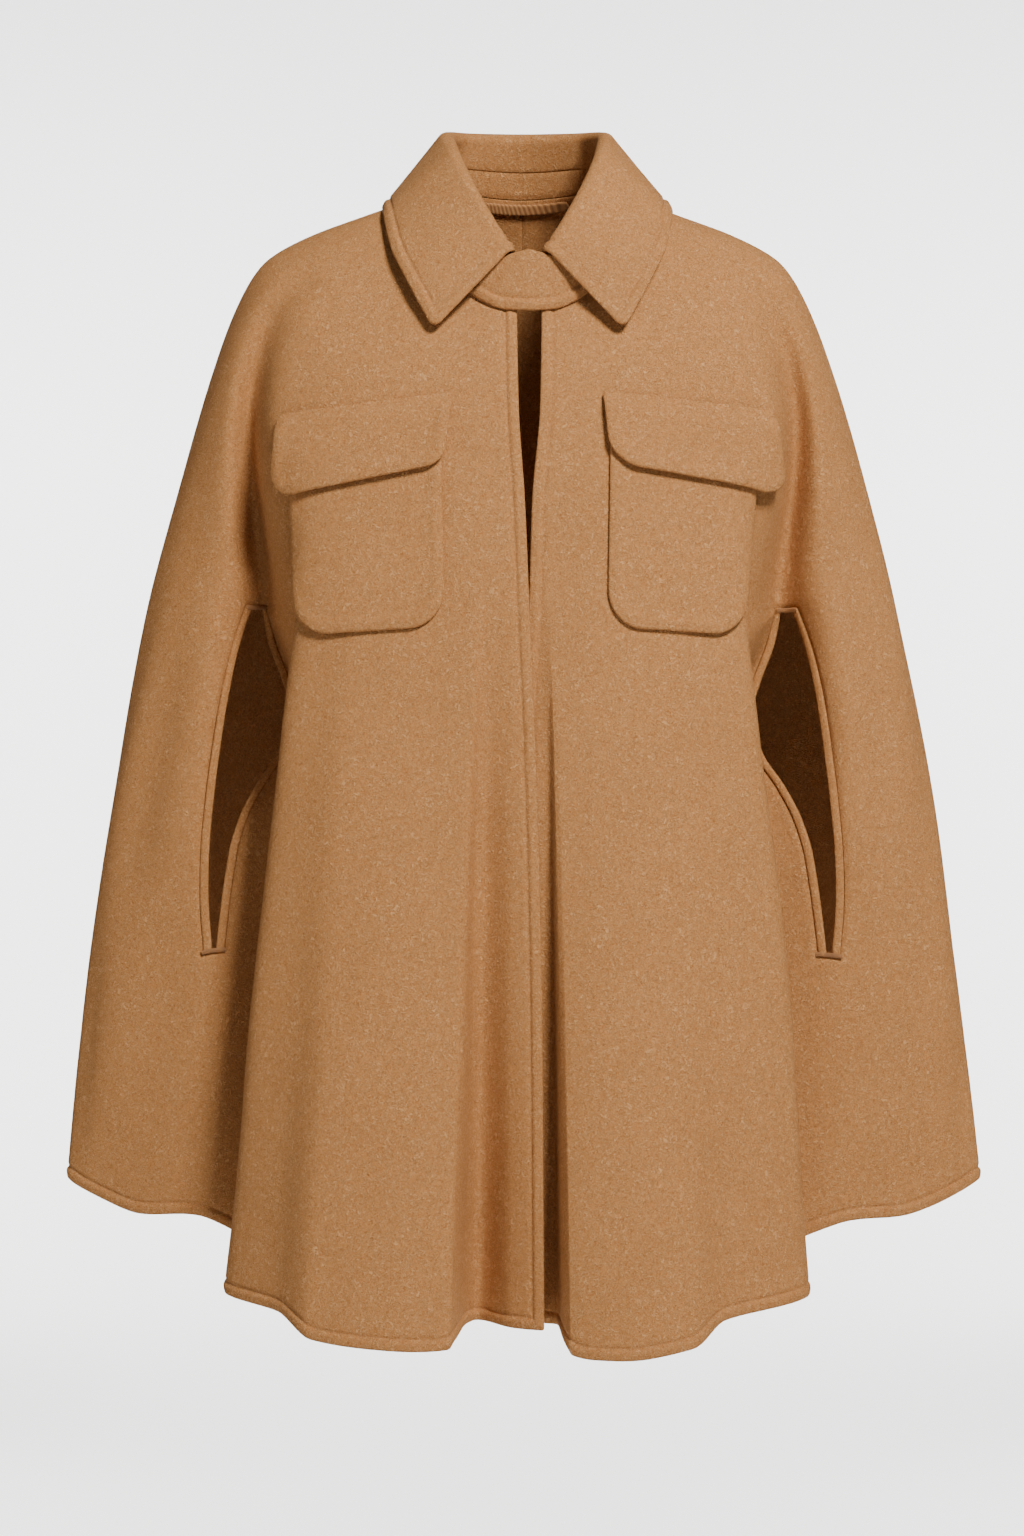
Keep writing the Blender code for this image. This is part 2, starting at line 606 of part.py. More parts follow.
def collar_frame(angle):
    """Return the seam, roll and edge points at an angle with the roll's outward and upward directions."""
    base, roll, edge = (collar_point(angle, which) for which in ("base", "roll", "edge"))
    along = (collar_point(angle + 1.0, "roll") - collar_point(angle - 1.0, "roll")).normalized()
    to_edge = edge - roll
    to_base = base - roll
    to_edge = (to_edge - along * to_edge.dot(along)).normalized()
    to_base = (to_base - along * to_base.dot(along)).normalized()
    up = -(to_edge + to_base).normalized()
    out = (to_edge - to_base).normalized()
    return base, roll, edge, out, up


def build_collar(collection):
    """Make the stand and the leaf, from one front end around the back of the neck to the other."""
    back_cells, front_cells = COLLAR_CELLS
    last = CENTRE_BACK - COLLAR_BACK_GAP
    half = banded(((COLLAR[0][0], SIDE_SEAM, front_cells), (SIDE_SEAM, last, back_cells)))
    stand, leaf = [], []
    for angle in [-angle for angle in half] + half[::-1]:
        base, roll, edge, out, up = collar_frame(angle)
        centre = roll - up * ROLL_RADIUS
        inner = centre - out * ROLL_RADIUS
        seam = base.lerp(inner, STAND_SHARE)
        leaf_line = [base.lerp(inner, STAND_SHARE + STAND_SEAM), base.lerp(inner, (STAND_SHARE + 1.0) / 2)]
        for step in range(ROLL_CELLS + 1):
            turn = math.pi * (1.0 - step / ROLL_CELLS)
            leaf_line.append(centre + (out * math.cos(turn) + up * math.sin(turn)) * ROLL_RADIUS)
        outer = leaf_line[-1]
        leaf_line += [outer.lerp(edge, (step + 1) / LEAF_CELLS) for step in range(LEAF_CELLS)]
        stand.append([base, base.lerp(seam, 0.5), seam])
        leaf.append(leaf_line)
    middle_wall("collar_stand", collection, stand)
    middle_wall("collar_leaf", collection, leaf)


def middle_wall(name, collection, points, thickness=CLOTH):
    """Make a wall of even thickness around rows of points that lie at its middle."""
    rows, columns = len(points), len(points[0])
    outer, inner = [], []
    for row in range(rows):
        outer_line, inner_line = [], []
        for column in range(columns):
            along = points[min(rows - 1, row + 1)][column] - points[max(0, row - 1)][column]
            across = points[row][min(columns - 1, column + 1)] - points[row][max(0, column - 1)]
            normal = along.cross(across).normalized()
            outer_line.append(points[row][column] + normal * thickness / 2)
            inner_line.append(points[row][column] - normal * thickness / 2)
        outer.append(outer_line)
        inner.append(inner_line)
    return wall(name, collection, outer, inner)


def build_tab(collection):
    """Bridge the gap between the front edges under the collar's wings."""
    curves = table_curves(TAB_COLUMNS, TAB)
    reach = TAB[-1][0]
    across_cells, down_cells = TAB_CELLS
    points = []
    for across in banded(((-reach, reach, across_cells),)):
        place = abs(across)
        top, foot = curves["top_z"](place), curves["foot_z"](place)
        points.append([Vector((COLLAR_SHIFT + across, curves["front_y"](place), top + (foot - top) * share))
                       for share in banded(((0.0, 1.0, down_cells),))])
    middle_wall("throat_tab", collection, points)


def build_loop(collection):
    """Lay the hanger loop along the inside of the back's neck edge."""
    points = []
    neck_half_width = SECTION_CURVES["side_x"](0.0)
    for across in banded(((-LOOP_SPAN / 2, LOOP_SPAN / 2, LOOP_CELLS),)):
        angle = CENTRE_BACK - math.degrees(math.asin(abs(across) / neck_half_width))
        side = "left" if across > 0 else "right"
        line = []
        for level in banded(((LOOP_LEVEL, LOOP_LEVEL + LOOP_HEIGHT, 2),)):
            point, normal = cloth_at(side, angle, level)
            line.append(point - normal * (CLOTH + LAP_GAP + LOOP_THICK / 2))
        points.append(line)
    middle_wall("hanger_loop", collection, points, LOOP_THICK)


def main():
    for thing in list(bpy.data.objects):
        bpy.data.objects.remove(thing, do_unlink=True)
    collection = bpy.data.collections.new("cape")
    bpy.context.scene.collection.children.link(collection)
    levels = banded(LEVEL_BANDS)
    build_fronts(collection, levels)
    build_backs(collection, levels)
    build_welts(collection)
    build_pockets(collection)
    build_collar(collection)
    build_tab(collection)
    build_loop(collection)


main()
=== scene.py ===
"""The looks of a hip-length wool cape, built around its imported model.

X runs to the viewer's right, Y away from the viewer and Z up, in metres. Right and left are the wearer's.
"""

import math

import bpy
import numpy as np
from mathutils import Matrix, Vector
from mathutils.kdtree import KDTree


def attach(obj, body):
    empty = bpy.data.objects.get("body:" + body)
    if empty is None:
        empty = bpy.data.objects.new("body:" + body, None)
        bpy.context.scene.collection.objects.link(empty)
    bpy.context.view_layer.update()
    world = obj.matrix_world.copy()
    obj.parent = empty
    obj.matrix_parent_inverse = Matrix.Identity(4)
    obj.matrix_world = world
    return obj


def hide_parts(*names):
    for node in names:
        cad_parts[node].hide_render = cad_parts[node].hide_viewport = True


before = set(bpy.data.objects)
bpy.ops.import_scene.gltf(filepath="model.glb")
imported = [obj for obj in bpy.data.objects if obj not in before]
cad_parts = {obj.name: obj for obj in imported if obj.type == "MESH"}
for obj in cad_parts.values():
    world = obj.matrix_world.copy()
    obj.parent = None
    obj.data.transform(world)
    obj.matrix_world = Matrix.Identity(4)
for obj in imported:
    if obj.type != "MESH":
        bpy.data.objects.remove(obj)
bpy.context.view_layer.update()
bpy.ops.object.select_all(action="DESELECT")

# The cloth's form. Angles run in degrees from centre front, and levels from 0 at the neck to 1 at the hem.
CLOTH = 0.0030
SEAM_GAP = 0.0003  # between the solids of two sewn pieces
LAP_GAP = 0.0009  # between two pieces that lie on each other
SLIT_TOP = 0.43
SLIT_FOOT = 0.76
SLIT_ANGLES = (55.3, 57.2)  # of its middle, at the top and the foot
SLIT_HALF = (1.80, 1.60)
WELT_WIDTH = 0.0070
WELT_THICK = 0.0046
SLIT_TILT = 0.0032  # how much the rows tilt beside the slit, so that its ends lie level
TILT_START = 0.15
TILT_REACH = 12.0
FOLD_START = 0.25
SIDES = {"right": -1.0, "left": 1.0}
SECTION_COLUMNS = ("level", "side_x", "side_y", "side_z", "front_y", "front_z", "back_y", "back_z",
                   "lean", "roundness")
SECTIONS = (
    (0.0, 0.075, -0.012, 0.036, -0.092, -0.055, 0.075, 0.044, 0.2, 0.85),
    (0.065, 0.13, -0.014, 0.017, -0.11, -0.108, 0.102, -0.002, 0.2, 0.8),
    (0.12, 0.1766, -0.012, 0.0, -0.122, -0.153, 0.119, -0.053, 0.2, 0.8),
    (0.16, 0.2085, -0.008, -0.018, -0.128, -0.186, 0.128, -0.093, 0.15, 0.8),
    (0.2, 0.229, -0.002, -0.048, -0.133, -0.218, 0.134, -0.134, 0.1, 0.8),
    (0.28, 0.254, 0.006, -0.113, -0.14, -0.283, 0.142, -0.208, 0.0, 0.82),
    (0.39, 0.282, 0.01, -0.211, -0.147, -0.373, 0.15, -0.302, 0.0, 0.88),
    (0.5, 0.307, 0.012, -0.3085, -0.153, -0.462, 0.156, -0.397, 0.0, 0.94),
    (0.72, 0.3435, 0.016, -0.504, -0.162, -0.64, 0.166, -0.59, 0.0, 1.0),
    (1.0, 0.3735, 0.02, -0.762, -0.17, -0.862, 0.175, -0.835, 0.0, 1.0),
)
FOLD_COLUMNS = ("angle", "out", "back", "up", "at_top", "at_foot")
BACK_FOLDS = (
    (90.0, 0.0, 0.0, 0.0, 0.1, 0.4),
    (102.0, -0.004, 0.01, -0.004, 0.1, 0.4),
    (119.0, -0.036, -0.02, 0.004, 0.25, 0.6),
    (139.0, 0.002, 0.03, 0.0, 0.1, 0.45),
    (159.0, 0.0, -0.016, 0.006, 0.1, 0.45),
    (180.0, 0.0, 0.018, 0.0, 0.1, 0.45),
    (201.0, 0.0, -0.016, 0.006, 0.1, 0.45),
)
FOLDS = {
    "right": (
        (-3.5, 0.0, 0.01, -0.001, 0.15, 0.6),
        (1.5, 0.0, 0.026, 0.0, 0.15, 0.6),
        (5.2, 0.001, 0.054, 0.001, 0.15, 0.6),
        (6.6, 0.001, 0.038, -0.001, 0.15, 0.58),
        (7.7, 0.001, -0.008, -0.007, 0.11, 0.5),
        (8.8, -0.001, -0.026, -0.012, 0.08, 0.45),
        (17.0, 0.001, -0.036, -0.018, 0.1, 0.5),
        (26.0, 0.001, -0.034, -0.022, 0.1, 0.5),
        (30.5, 0.001, -0.008, -0.012, 0.15, 0.5),
        (35.0, 0.016, 0.022, -0.012, 0.12, 0.42),
        (46.5, -0.07, 0.069, -0.007, 0.42, 1.02),
        (57.0, -0.059, 0.048, 0.002, 0.43, 0.76),
        (69.0, -0.032, 0.033, -0.012, 0.3, 0.6),
        (80.0, -0.011, 0.016, -0.006, 0.15, 0.45),
    ) + BACK_FOLDS,
    "left": (
        (-3.5, 0.0, 0.038, 0.003, 0.15, 0.6),
        (3.3, 0.0, 0.038, 0.0, 0.15, 0.6),
        (4.3, -0.001, -0.006, -0.008, 0.12, 0.48),
        (5.5, -0.002, -0.026, -0.014, 0.11, 0.48),
        (9.0, -0.002, -0.034, -0.019, 0.1, 0.5),
        (15.0, -0.002, -0.042, -0.022, 0.1, 0.5),
        (21.0, -0.004, -0.036, -0.022, 0.1, 0.5),
        (26.0, -0.008, -0.012, -0.011, 0.15, 0.5),
        (34.5, 0.011, 0.02, -0.013, 0.15, 0.4),
        (46.5, -0.076, 0.069, -0.009, 0.46, 1.06),
        (57.0, -0.061, 0.048, -0.003, 0.43, 0.76),
        (69.0, -0.034, 0.033, -0.014, 0.3, 0.6),
        (80.0, -0.012, 0.016, -0.008, 0.15, 0.45),
    ) + BACK_FOLDS,
}
# How far each edge of the open slit is drawn out and back, and how many degrees that pulls on.
SLIT_EDGES = {
    "front": {"out": -0.048, "back": 0.018, "reach": 8.0},
    "back": {"out": 0.012, "back": -0.003, "reach": 9.0},
}
OPENING_COLUMNS = ("along", "front", "back")
SLIT_OPENING = (
    (0.0, 0.0, 0.0),
    (0.1, 0.25, 0.48),
    (0.2, 0.55, 0.77),
    (0.3, 0.75, 0.94),
    (0.4, 0.66, 1.0),
    (0.5, 0.36, 1.0),
    (0.6, 0.14, 0.95),
    (0.7, 0.04, 0.86),
    (0.85, 0.01, 0.55),
    (1.0, 0.0, 0.0),
)
# The fold that runs down from the shoulder to each slit: where its bottom lies and how far back.
VALLEY_COLUMNS = ("level", "angle", "back")
VALLEY = (
    (0.12, 66.0, 0.0),
    (0.2, 63.5, 0.014),
    (0.28, 59.5, 0.03),
    (0.36, 56.0, 0.041),
    (0.43, 54.0, 0.042),
    (0.52, 53.5, 0.028),
    (0.64, 53.5, 0.012),
    (0.8, 53.5, 0.003),
    (1.0, 53.5, 0.0),
)
VALLEY_REACH = 4.8
EDGE_COLUMNS = ("level", "right", "left")
FRONT_EDGES = (
    (0.0, 0.0054, 0.0157),
    (0.11, 0.0038, 0.0141),
    (0.2, -0.0009, 0.0079),
    (0.3, -0.0043, 0.0052),
    (0.5, -0.0108, -0.003),
    (0.68, -0.0139, -0.005),
    (1.0, -0.0152, -0.0062),
)
LAP_START = 0.16
LAP_FULL = 0.27
LAP_REACH = (0.022, 0.060)
SIDE_SEAM = 90.0
CENTRE_BACK = 180.0
COLLAR_COLUMNS = ("angle", "roll_x", "roll_y", "roll_z", "edge_x", "edge_y", "edge_z")
COLLAR = (
    (9.0, 0.0125, -0.098, -0.02, 0.0745, -0.109, -0.082),
    (26.0, 0.027, -0.093, 0.002, 0.093, -0.098, -0.047),
    (45.0, 0.044, -0.074, 0.034, 0.1085, -0.076, -0.013),
    (65.0, 0.057, -0.042, 0.066, 0.115, -0.039, 0.0185),
    (90.0, 0.062, 0.002, 0.086, 0.116, 0.015, 0.029),
    (130.0, 0.05, 0.047, 0.094, 0.09, 0.08, 0.02),
    (180.0, 0.0, 0.066, 0.096, 0.0, 0.106, 0.006),
    (230.0, -0.05, 0.047, 0.094, -0.09, 0.08, 0.02),
)
COLLAR_SHIFT = 0.0046
COLLAR_TURN = 3.6
SHIFT_FADE = (40.0, 160.0)
ROLL_RADIUS = 0.0060
STAND_SHARE = 0.50
STAND_SEAM = 0.012
PATCH_COLUMNS = ("inner_top", "outer_top", "outer_foot", "inner_foot",
                 "top_radius", "inner_radius", "outer_radius")
POCKETS = {
    "right": ((0.0655, -0.162), (0.183, -0.168), (0.174, -0.3245), (0.062, -0.3175), 0.002, 0.028, 0.026),
    "left": ((0.07, -0.162), (0.183, -0.168), (0.169, -0.324), (0.0675, -0.318), 0.002, 0.028, 0.024),
}
FLAPS = {
    "right": ((0.056, -0.1365), (0.19, -0.1525), (0.1925, -0.2165), (0.063, -0.1915), 0.003, 0.012, 0.022),
    "left": ((0.064, -0.1357), (0.195, -0.149), (0.199, -0.212), (0.0695, -0.1905), 0.003, 0.022, 0.018),
}
FLAP_RISE = 0.014
PATCH_LIFT = 0.0020
PATCH_LIFT_START = 0.4
FLAP_LIFT = 0.0025
TAB_COLUMNS = ("across", "front_y", "top_z", "foot_z")
TAB = (
    (0.0, -0.0995, -0.0215, -0.067),
    (0.02, -0.0978, -0.026, -0.0655),
    (0.038, -0.095, -0.027, -0.058),
    (0.05, -0.091, -0.033, -0.049),
)
LOOP_SPAN = 0.072
LOOP_HEIGHT = 0.009
LOOP_THICK = 0.0022
LOOP_LEVEL = 0.004

# What only shows close up: sewing, swollen edges and the small waves of hanging cloth.
STITCH_IN = 0.0078  # the topstitching's distance from a turned edge
PUFF = 0.0009  # how far a turned edge swells between its rim and the stitches
PUFF_PLACE = (0.0038, 0.0026)  # how far in that is greatest, and how far it reaches
PATCH_PUFF = 0.0010  # the same for a pocket or a flap, which have no topstitching
PATCH_PUFF_PLACE = (0.0046, 0.0042)
GROOVE = 0.0011  # how deep the topstitching pulls the cloth in
GROOVE_HALF = 0.0014
PRESSED_SEAM = 0.0013  # how deep a pressed seam lies
PRESSED_HALF = 0.0020
SEAM_TOUCH = 0.00018  # how far before the seam line each of its rims starts to round
SEAM_ROUND = 0.00024  # how far a seam's rim rounds out, so that the two rims touch
PANEL_UNDER = 0.5  # the share of the outer face's swelling that a panel's under face has
PATCH_UNDER = 0.2  # the same for a pocket or a flap
RIM_TURNS = (50.0, 90.0, 130.0)  # of the points around a rim, from the outer face to the inner
RIM_ROUND = 0.9  # how far a soft rim bulges, as a share of half the thickness
FRONT_INSET = 0.35 * CLOTH  # the front edge's rim bulges back out by about as much
RIM_SPACING = 0.001  # of the points on a rim that distances are measured to
STITCH_LENGTH = 0.0031
STITCH_PITCH = 0.0039
STITCH_DIVE = 0.00032  # how far its two ends dive into the cloth
STITCH_TAPER = (0.22, 0.35)  # how far its ends narrow and stand out, for a thread 1 thick
THREAD = 0.00075
BARTACK_LEVELS = (0.4325, 0.7575)
BARTACK_HALF = 1.7  # half its length, in degrees around the body
BARTACK_PITCH = 0.0008
BARTACK_HEIGHT = 0.0012
BARTACK_POINTS = 24
WAVES = 12
WAVE_HEIGHT = 0.00042
WAVE_FALL = 0.10  # how much lower each further wave is
WAVE_TURNS = (6.0, 34.0)
WAVE_DRIFTS = (-3.4, 3.4)
WAVE_GROWTH = (0.1, 0.7)  # the levels between which the waves grow to their full height
WAVE_LEAST = 0.35
NECK_CALM = 0.06  # above this level they die away

# The mesh: where its rows and columns lie, and how many there are.
EDGE_STEPS = (0.0, 0.0012, 0.0026, 0.0042, 0.0056, 0.0067, 0.0074, 0.0081,
              0.0088, 0.0098, 0.0112, 0.0135, 0.017)
SEAM_STEPS = (0.0, 0.0008, 0.0018, 0.0030, 0.0048, 0.0075)
NECK_ROWS = (0.0, 0.0012, 0.0026, 0.0044, 0.0068)
SLIT_END_ROWS = (0.0, 0.0012, 0.0028, 0.0046, 0.0064, 0.0078, 0.0092, 0.0110)
ROW_RUNS = ((0.0115, SLIT_TOP - 0.012), (SLIT_TOP + 0.015, SLIT_FOOT - 0.013), (SLIT_FOOT + 0.015, 0.976))
ROW_STEP = 0.0052
PANEL_LENGTH = 0.86  # of a panel from level 0 to 1, in metres
CHORD = 0.3  # the degrees over which a distance around the body is measured
BESIDE_EDGE = 0.5  # the degrees beside an edge where it is measured
BEHIND_SLIT = 0.2
# The steep fold beside the front edge ends this far to the slit, and is at least so many degrees wide.
WALL_SHARE = {"right": 0.19, "left": 0.12}
WALL_LEAST = 1.5
WALL_COLUMNS = 30
FRONT_COLUMNS = 64  # from there to the slit
SLIT_COLUMNS = 3
SIDE_COLUMNS = 32  # from the slit to the side seam
BACK_COLUMNS = 84
WELT_RINGS = 90
WELT_SIDES = 20
WELT_SQUARE = 0.75  # below 1, its section is squarer than an ellipse
WELT_CAP = (0.55, 0.85)  # the rings that close its ends, as shares of its section
NORMAL_STEPS = (0.4, 0.004)  # the angle and level over which a direction out is measured
SEARCH_START = (30.0, 0.2)  # the angle and level where a search for a place on the cloth begins
SEARCH_MOST = (8.0, 0.08)  # its longest step
SEARCH_PROBE = (1.0, 0.01)  # the steps by which it finds the cloth's slope
SEARCH_ROUNDS = 25
PATCH_CELL = 0.0035
COLLAR_NEAR = (0.0, 0.006, 0.014, 0.023, 0.032, 0.040, 0.046, 0.052, 0.058, 0.066, 0.078)
COLLAR_FAR = 0.095  # like those, a share of the way from the collar's front to the centre back
COLLAR_COLUMNS_BEHIND = 84
COLLAR_END = 0.15  # its halves meet this many degrees before the centre back
ALONG_STEP = 1.0  # the degrees to each side over which the collar's direction is measured
STAND_ROWS = 9
LEAF_INNER_ROWS = 8
ROLL_ROWS = 11
LEAF_OUTER_SHARES = [step / 14 for step in range(1, 12)]
LEAF_CORNER = 0.0065
TAB_ROWS = 60
LOOP_ROWS = 40
LOOP_LINES = 6


def ease(low, high, value):
    """Return 0 below low, 1 above high, and a smooth rise between them."""
    part = np.clip((np.asarray(value, float) - low) / (high - low), 0.0, 1.0)
    return part * part * (3.0 - 2.0 * part)


def curve(stations, values, at):
    """Return smooth values at the given places that never overshoot the values at the stations."""
    at = np.asarray(at, float)
    shape = at.shape
    at = at.ravel()
    stations = np.asarray(stations, float)
    values = np.stack([np.broadcast_to(np.ravel(value), at.shape) for value in values])
    steps = np.diff(stations)
    slopes = np.diff(values, axis=0) / steps[:, None]
    before, after = slopes[:-1], slopes[1:]
    same_way = before * after > 0.0
    total = np.where(same_way, before + after, 1.0)
    bends = np.concatenate([slopes[:1], np.where(same_way, 2.0 * before * after / total, 0.0), slopes[-1:]])
    at = np.clip(at, stations[0], stations[-1])
    place = np.clip(np.searchsorted(stations, at, side="right") - 1, 0, len(steps) - 1)
    along = np.arange(len(at))
    step = steps[place]
    part = (at - stations[place]) / step
    rise = part * part * (3.0 - 2.0 * part)
    result = values[place, along] * (1.0 - rise) + values[place + 1, along] * rise
    result += part * (1.0 - part) ** 2 * step * bends[place, along]
    result += part * part * (part - 1.0) * step * bends[place + 1, along]
    return result.reshape(shape)


def column(columns, rows, name, at):
    """Return a table's column as a smooth function of its first column."""
    place = columns.index(name)
    return curve([row[0] for row in rows], [row[place] for row in rows], at)


def unit(vectors):
    return vectors / np.maximum(np.linalg.norm(vectors, axis=-1, keepdims=True), 1e-12)


def dot(first, second):
    return np.sum(first * second, axis=-1, keepdims=True)


def slit_angle(edge, level):
    along = np.clip((level - SLIT_TOP) / (SLIT_FOOT - SLIT_TOP), 0.0, 1.0)
    middle = SLIT_ANGLES[0] + (SLIT_ANGLES[1] - SLIT_ANGLES[0]) * along
    return middle + edge * (SLIT_HALF[0] + (SLIT_HALF[1] - SLIT_HALF[0]) * along)


def turned_level(angle, level):
    share = ease(TILT_START, SLIT_TOP, level) * (1.0 - ease(SLIT_FOOT, 1.0, level))
    aside = angle - slit_angle(0, level)
    return level + SLIT_TILT * aside * share * np.exp(-(aside / TILT_REACH) ** 2)


def slit_shift(angle, level):
    """Return how far the slit's opening draws the cloth out and back."""
    along = (level - SLIT_TOP) / (SLIT_FOOT - SLIT_TOP)
    in_front = angle < slit_angle(0, level)
    out, back = 0.0, 0.0
    for name, edge, here in (("front", -1, in_front), ("back", 1, ~in_front)):
        pull = SLIT_EDGES[name]
        fade = column(OPENING_COLUMNS, SLIT_OPENING, name, along)
        fade = fade * np.exp(-((angle - slit_angle(edge, level)) / pull["reach"]) ** 2) * here
        out = out + pull["out"] * fade
        back = back + pull["back"] * fade
    return out, back


def body_point(side, angle, level):
    """Return points of the cloth's outer face, by angle from centre front and level down from the neck."""
    angle, level = np.broadcast_arrays(np.asarray(angle, float), np.asarray(level, float))
    part = {name: column(SECTION_COLUMNS, SECTIONS, name, level) for name in SECTION_COLUMNS[1:]}
    fold = {name: column(FOLD_COLUMNS, FOLDS[side], name, angle) for name in FOLD_COLUMNS[1:]}
    sine, cosine = np.sin(np.radians(angle)), np.cos(np.radians(angle))
    front = cosine > 0.0
    deep = np.where(front, np.abs(cosine) ** part["roundness"], np.abs(cosine))
    far_y = np.where(front, part["front_y"], part["back_y"])
    far_z = np.where(front, part["front_z"], part["back_z"])
    y = part["side_y"] + (far_y - part["side_y"]) * deep
    z = part["side_z"] + (far_z - part["side_z"]) * cosine * cosine
    z = z + part["lean"] * (y - part["side_y"]) * sine * sine
    none, full = np.zeros(level.size), np.ones(level.size)
    share = curve((0.0, FOLD_START, SLIT_TOP, SLIT_FOOT, 1.0),
                  (none, none, fold["at_top"], fold["at_foot"], full), level)
    slit_out, slit_back = slit_shift(angle, level)
    x = part["side_x"] * sine + fold["out"] * share + slit_out
    y = y + fold["back"] * share + slit_back
    aside = (angle - column(VALLEY_COLUMNS, VALLEY, "angle", level)) / VALLEY_REACH
    y = y + column(VALLEY_COLUMNS, VALLEY, "back", level) * np.exp(-aside ** 2)
    z = z + fold["up"] * share
    return np.stack([SIDES[side] * x, y, z], axis=-1)


def body_normal(side, angle, level):
    """Return the directions out of the cloth."""
    angle, level = np.broadcast_arrays(np.asarray(angle, float), np.asarray(level, float))
    turn, fall = NORMAL_STEPS
    around = body_point(side, angle + turn, level) - body_point(side, angle - turn, level)
    down = body_point(side, angle, np.minimum(1.0, level + fall))
    down = down - body_point(side, angle, np.maximum(0.0, level - fall))
    return unit(np.cross(around, down)) * -SIDES[side]


def hanging_waves():
    """Return waves as heights, turns around the body, drifts from neck to hem, and starts."""
    rng = np.random.default_rng(7)
    return [(WAVE_HEIGHT / (1.0 + WAVE_FALL * index), rng.uniform(*WAVE_TURNS),
             rng.uniform(*WAVE_DRIFTS), rng.uniform(0.0, math.tau)) for index in range(WAVES)]


HANGING_WAVES = hanging_waves()


def ripple(side, angle, level):
    """Return the unevenness of hanging cloth: long soft waves, the same on both fronts where they lap."""
    around = np.radians(angle) * SIDES[side]
    height = sum(size * np.sin(turns * around + drift * level * math.tau + start)
                 for size, turns, drift, start in HANGING_WAVES)
    growth = WAVE_LEAST + (1.0 - WAVE_LEAST) * ease(*WAVE_GROWTH, level)
    return height * growth * ease(0.0, NECK_CALM, level)


def cloth(side, angle, level, height=0.0):
    """Return points at a height above the cloth's outer face, and the directions out."""
    angle, level = np.broadcast_arrays(np.asarray(angle, float), np.asarray(level, float))
    normal = body_normal(side, angle, level)
    point = body_point(side, angle, level)
    dip = 0.0
    if side == "left":
        beside = 1.0 - ease(*LAP_REACH, np.abs(point[..., 0]))
        dip = (CLOTH + LAP_GAP) * ease(LAP_START, LAP_FULL, level) * beside
    lift = height + ripple(side, angle, level) - dip
    return point + normal * np.asarray(lift)[..., None], normal


def mesh_object(name, points, faces, material):
    mesh = bpy.data.meshes.new(name)
    mesh.from_pydata([tuple(point) for point in points], [], [tuple(int(i) for i in face) for face in faces])
    mesh.materials.append(material)
    thing = bpy.data.objects.new(name, mesh)
    bpy.context.scene.collection.objects.link(thing)
    bpy.ops.object.select_all(action="DESELECT")
    thing.select_set(True)
    bpy.context.view_layer.objects.active = thing
    bpy.ops.object.mode_set(mode="EDIT")
    bpy.ops.mesh.select_all(action="SELECT")
    bpy.ops.mesh.normals_make_consistent(inside=False)
    bpy.ops.object.mode_set(mode="OBJECT")
    bpy.ops.object.shade_smooth()
    thing.select_set(False)
    return thing


def gaps(points, axis):
    """Return the running distance along the rows (axis 0) or columns (axis 1) of a grid of points."""
    steps = np.linalg.norm(np.diff(points, axis=axis), axis=-1)
    start = np.zeros_like(np.take(steps, [0], axis=axis))
    return np.concatenate([start, np.cumsum(steps, axis=axis)], axis=axis)


def along_line(at, run, line):
    """Return a line's points at distances along it."""
    return np.stack([np.interp(at, run, line[:, axis]) for axis in range(3)], axis=-1)


def rim_points(lines):
    """Return the points of open lines, spaced evenly."""
    result = []
    for line in lines:
        run = gaps(line[:, None], 0)[:, 0]
        count = max(2, int(run[-1] / RIM_SPACING) + 1)
        result.append(along_line(np.linspace(0.0, run[-1], count), run, line))
    return np.concatenate(result)


def distance_to(points, lines):
    """Return each grid point's distance to the nearest of some lines."""
    targets = rim_points(lines)
    tree = KDTree(len(targets))
    for index, target in enumerate(targets):
        tree.insert(target, index)
    tree.balance()
    flat = points.reshape(-1, 3)
    return np.array([tree.find(point)[2] for point in flat]).reshape(points.shape[:-1])


def mound(away, height, middle, half):
    """Return a rounded mound's height, by the distance from the rim that it runs beside."""
    return height * np.exp(-((away - middle) / half) ** 2)


def turned_edge(away):
    """Return how far a turned and topstitched edge swells or sinks."""
    return mound(away, PUFF, *PUFF_PLACE) - mound(away, GROOVE, STITCH_IN, GROOVE_HALF)


def soft_edge(away):
    """Return how far a turned edge without topstitching swells."""
    return mound(away, PATCH_PUFF, *PATCH_PUFF_PLACE)


def pressed_seam(away):
    return -mound(away, PRESSED_SEAM, 0.0, PRESSED_HALF)


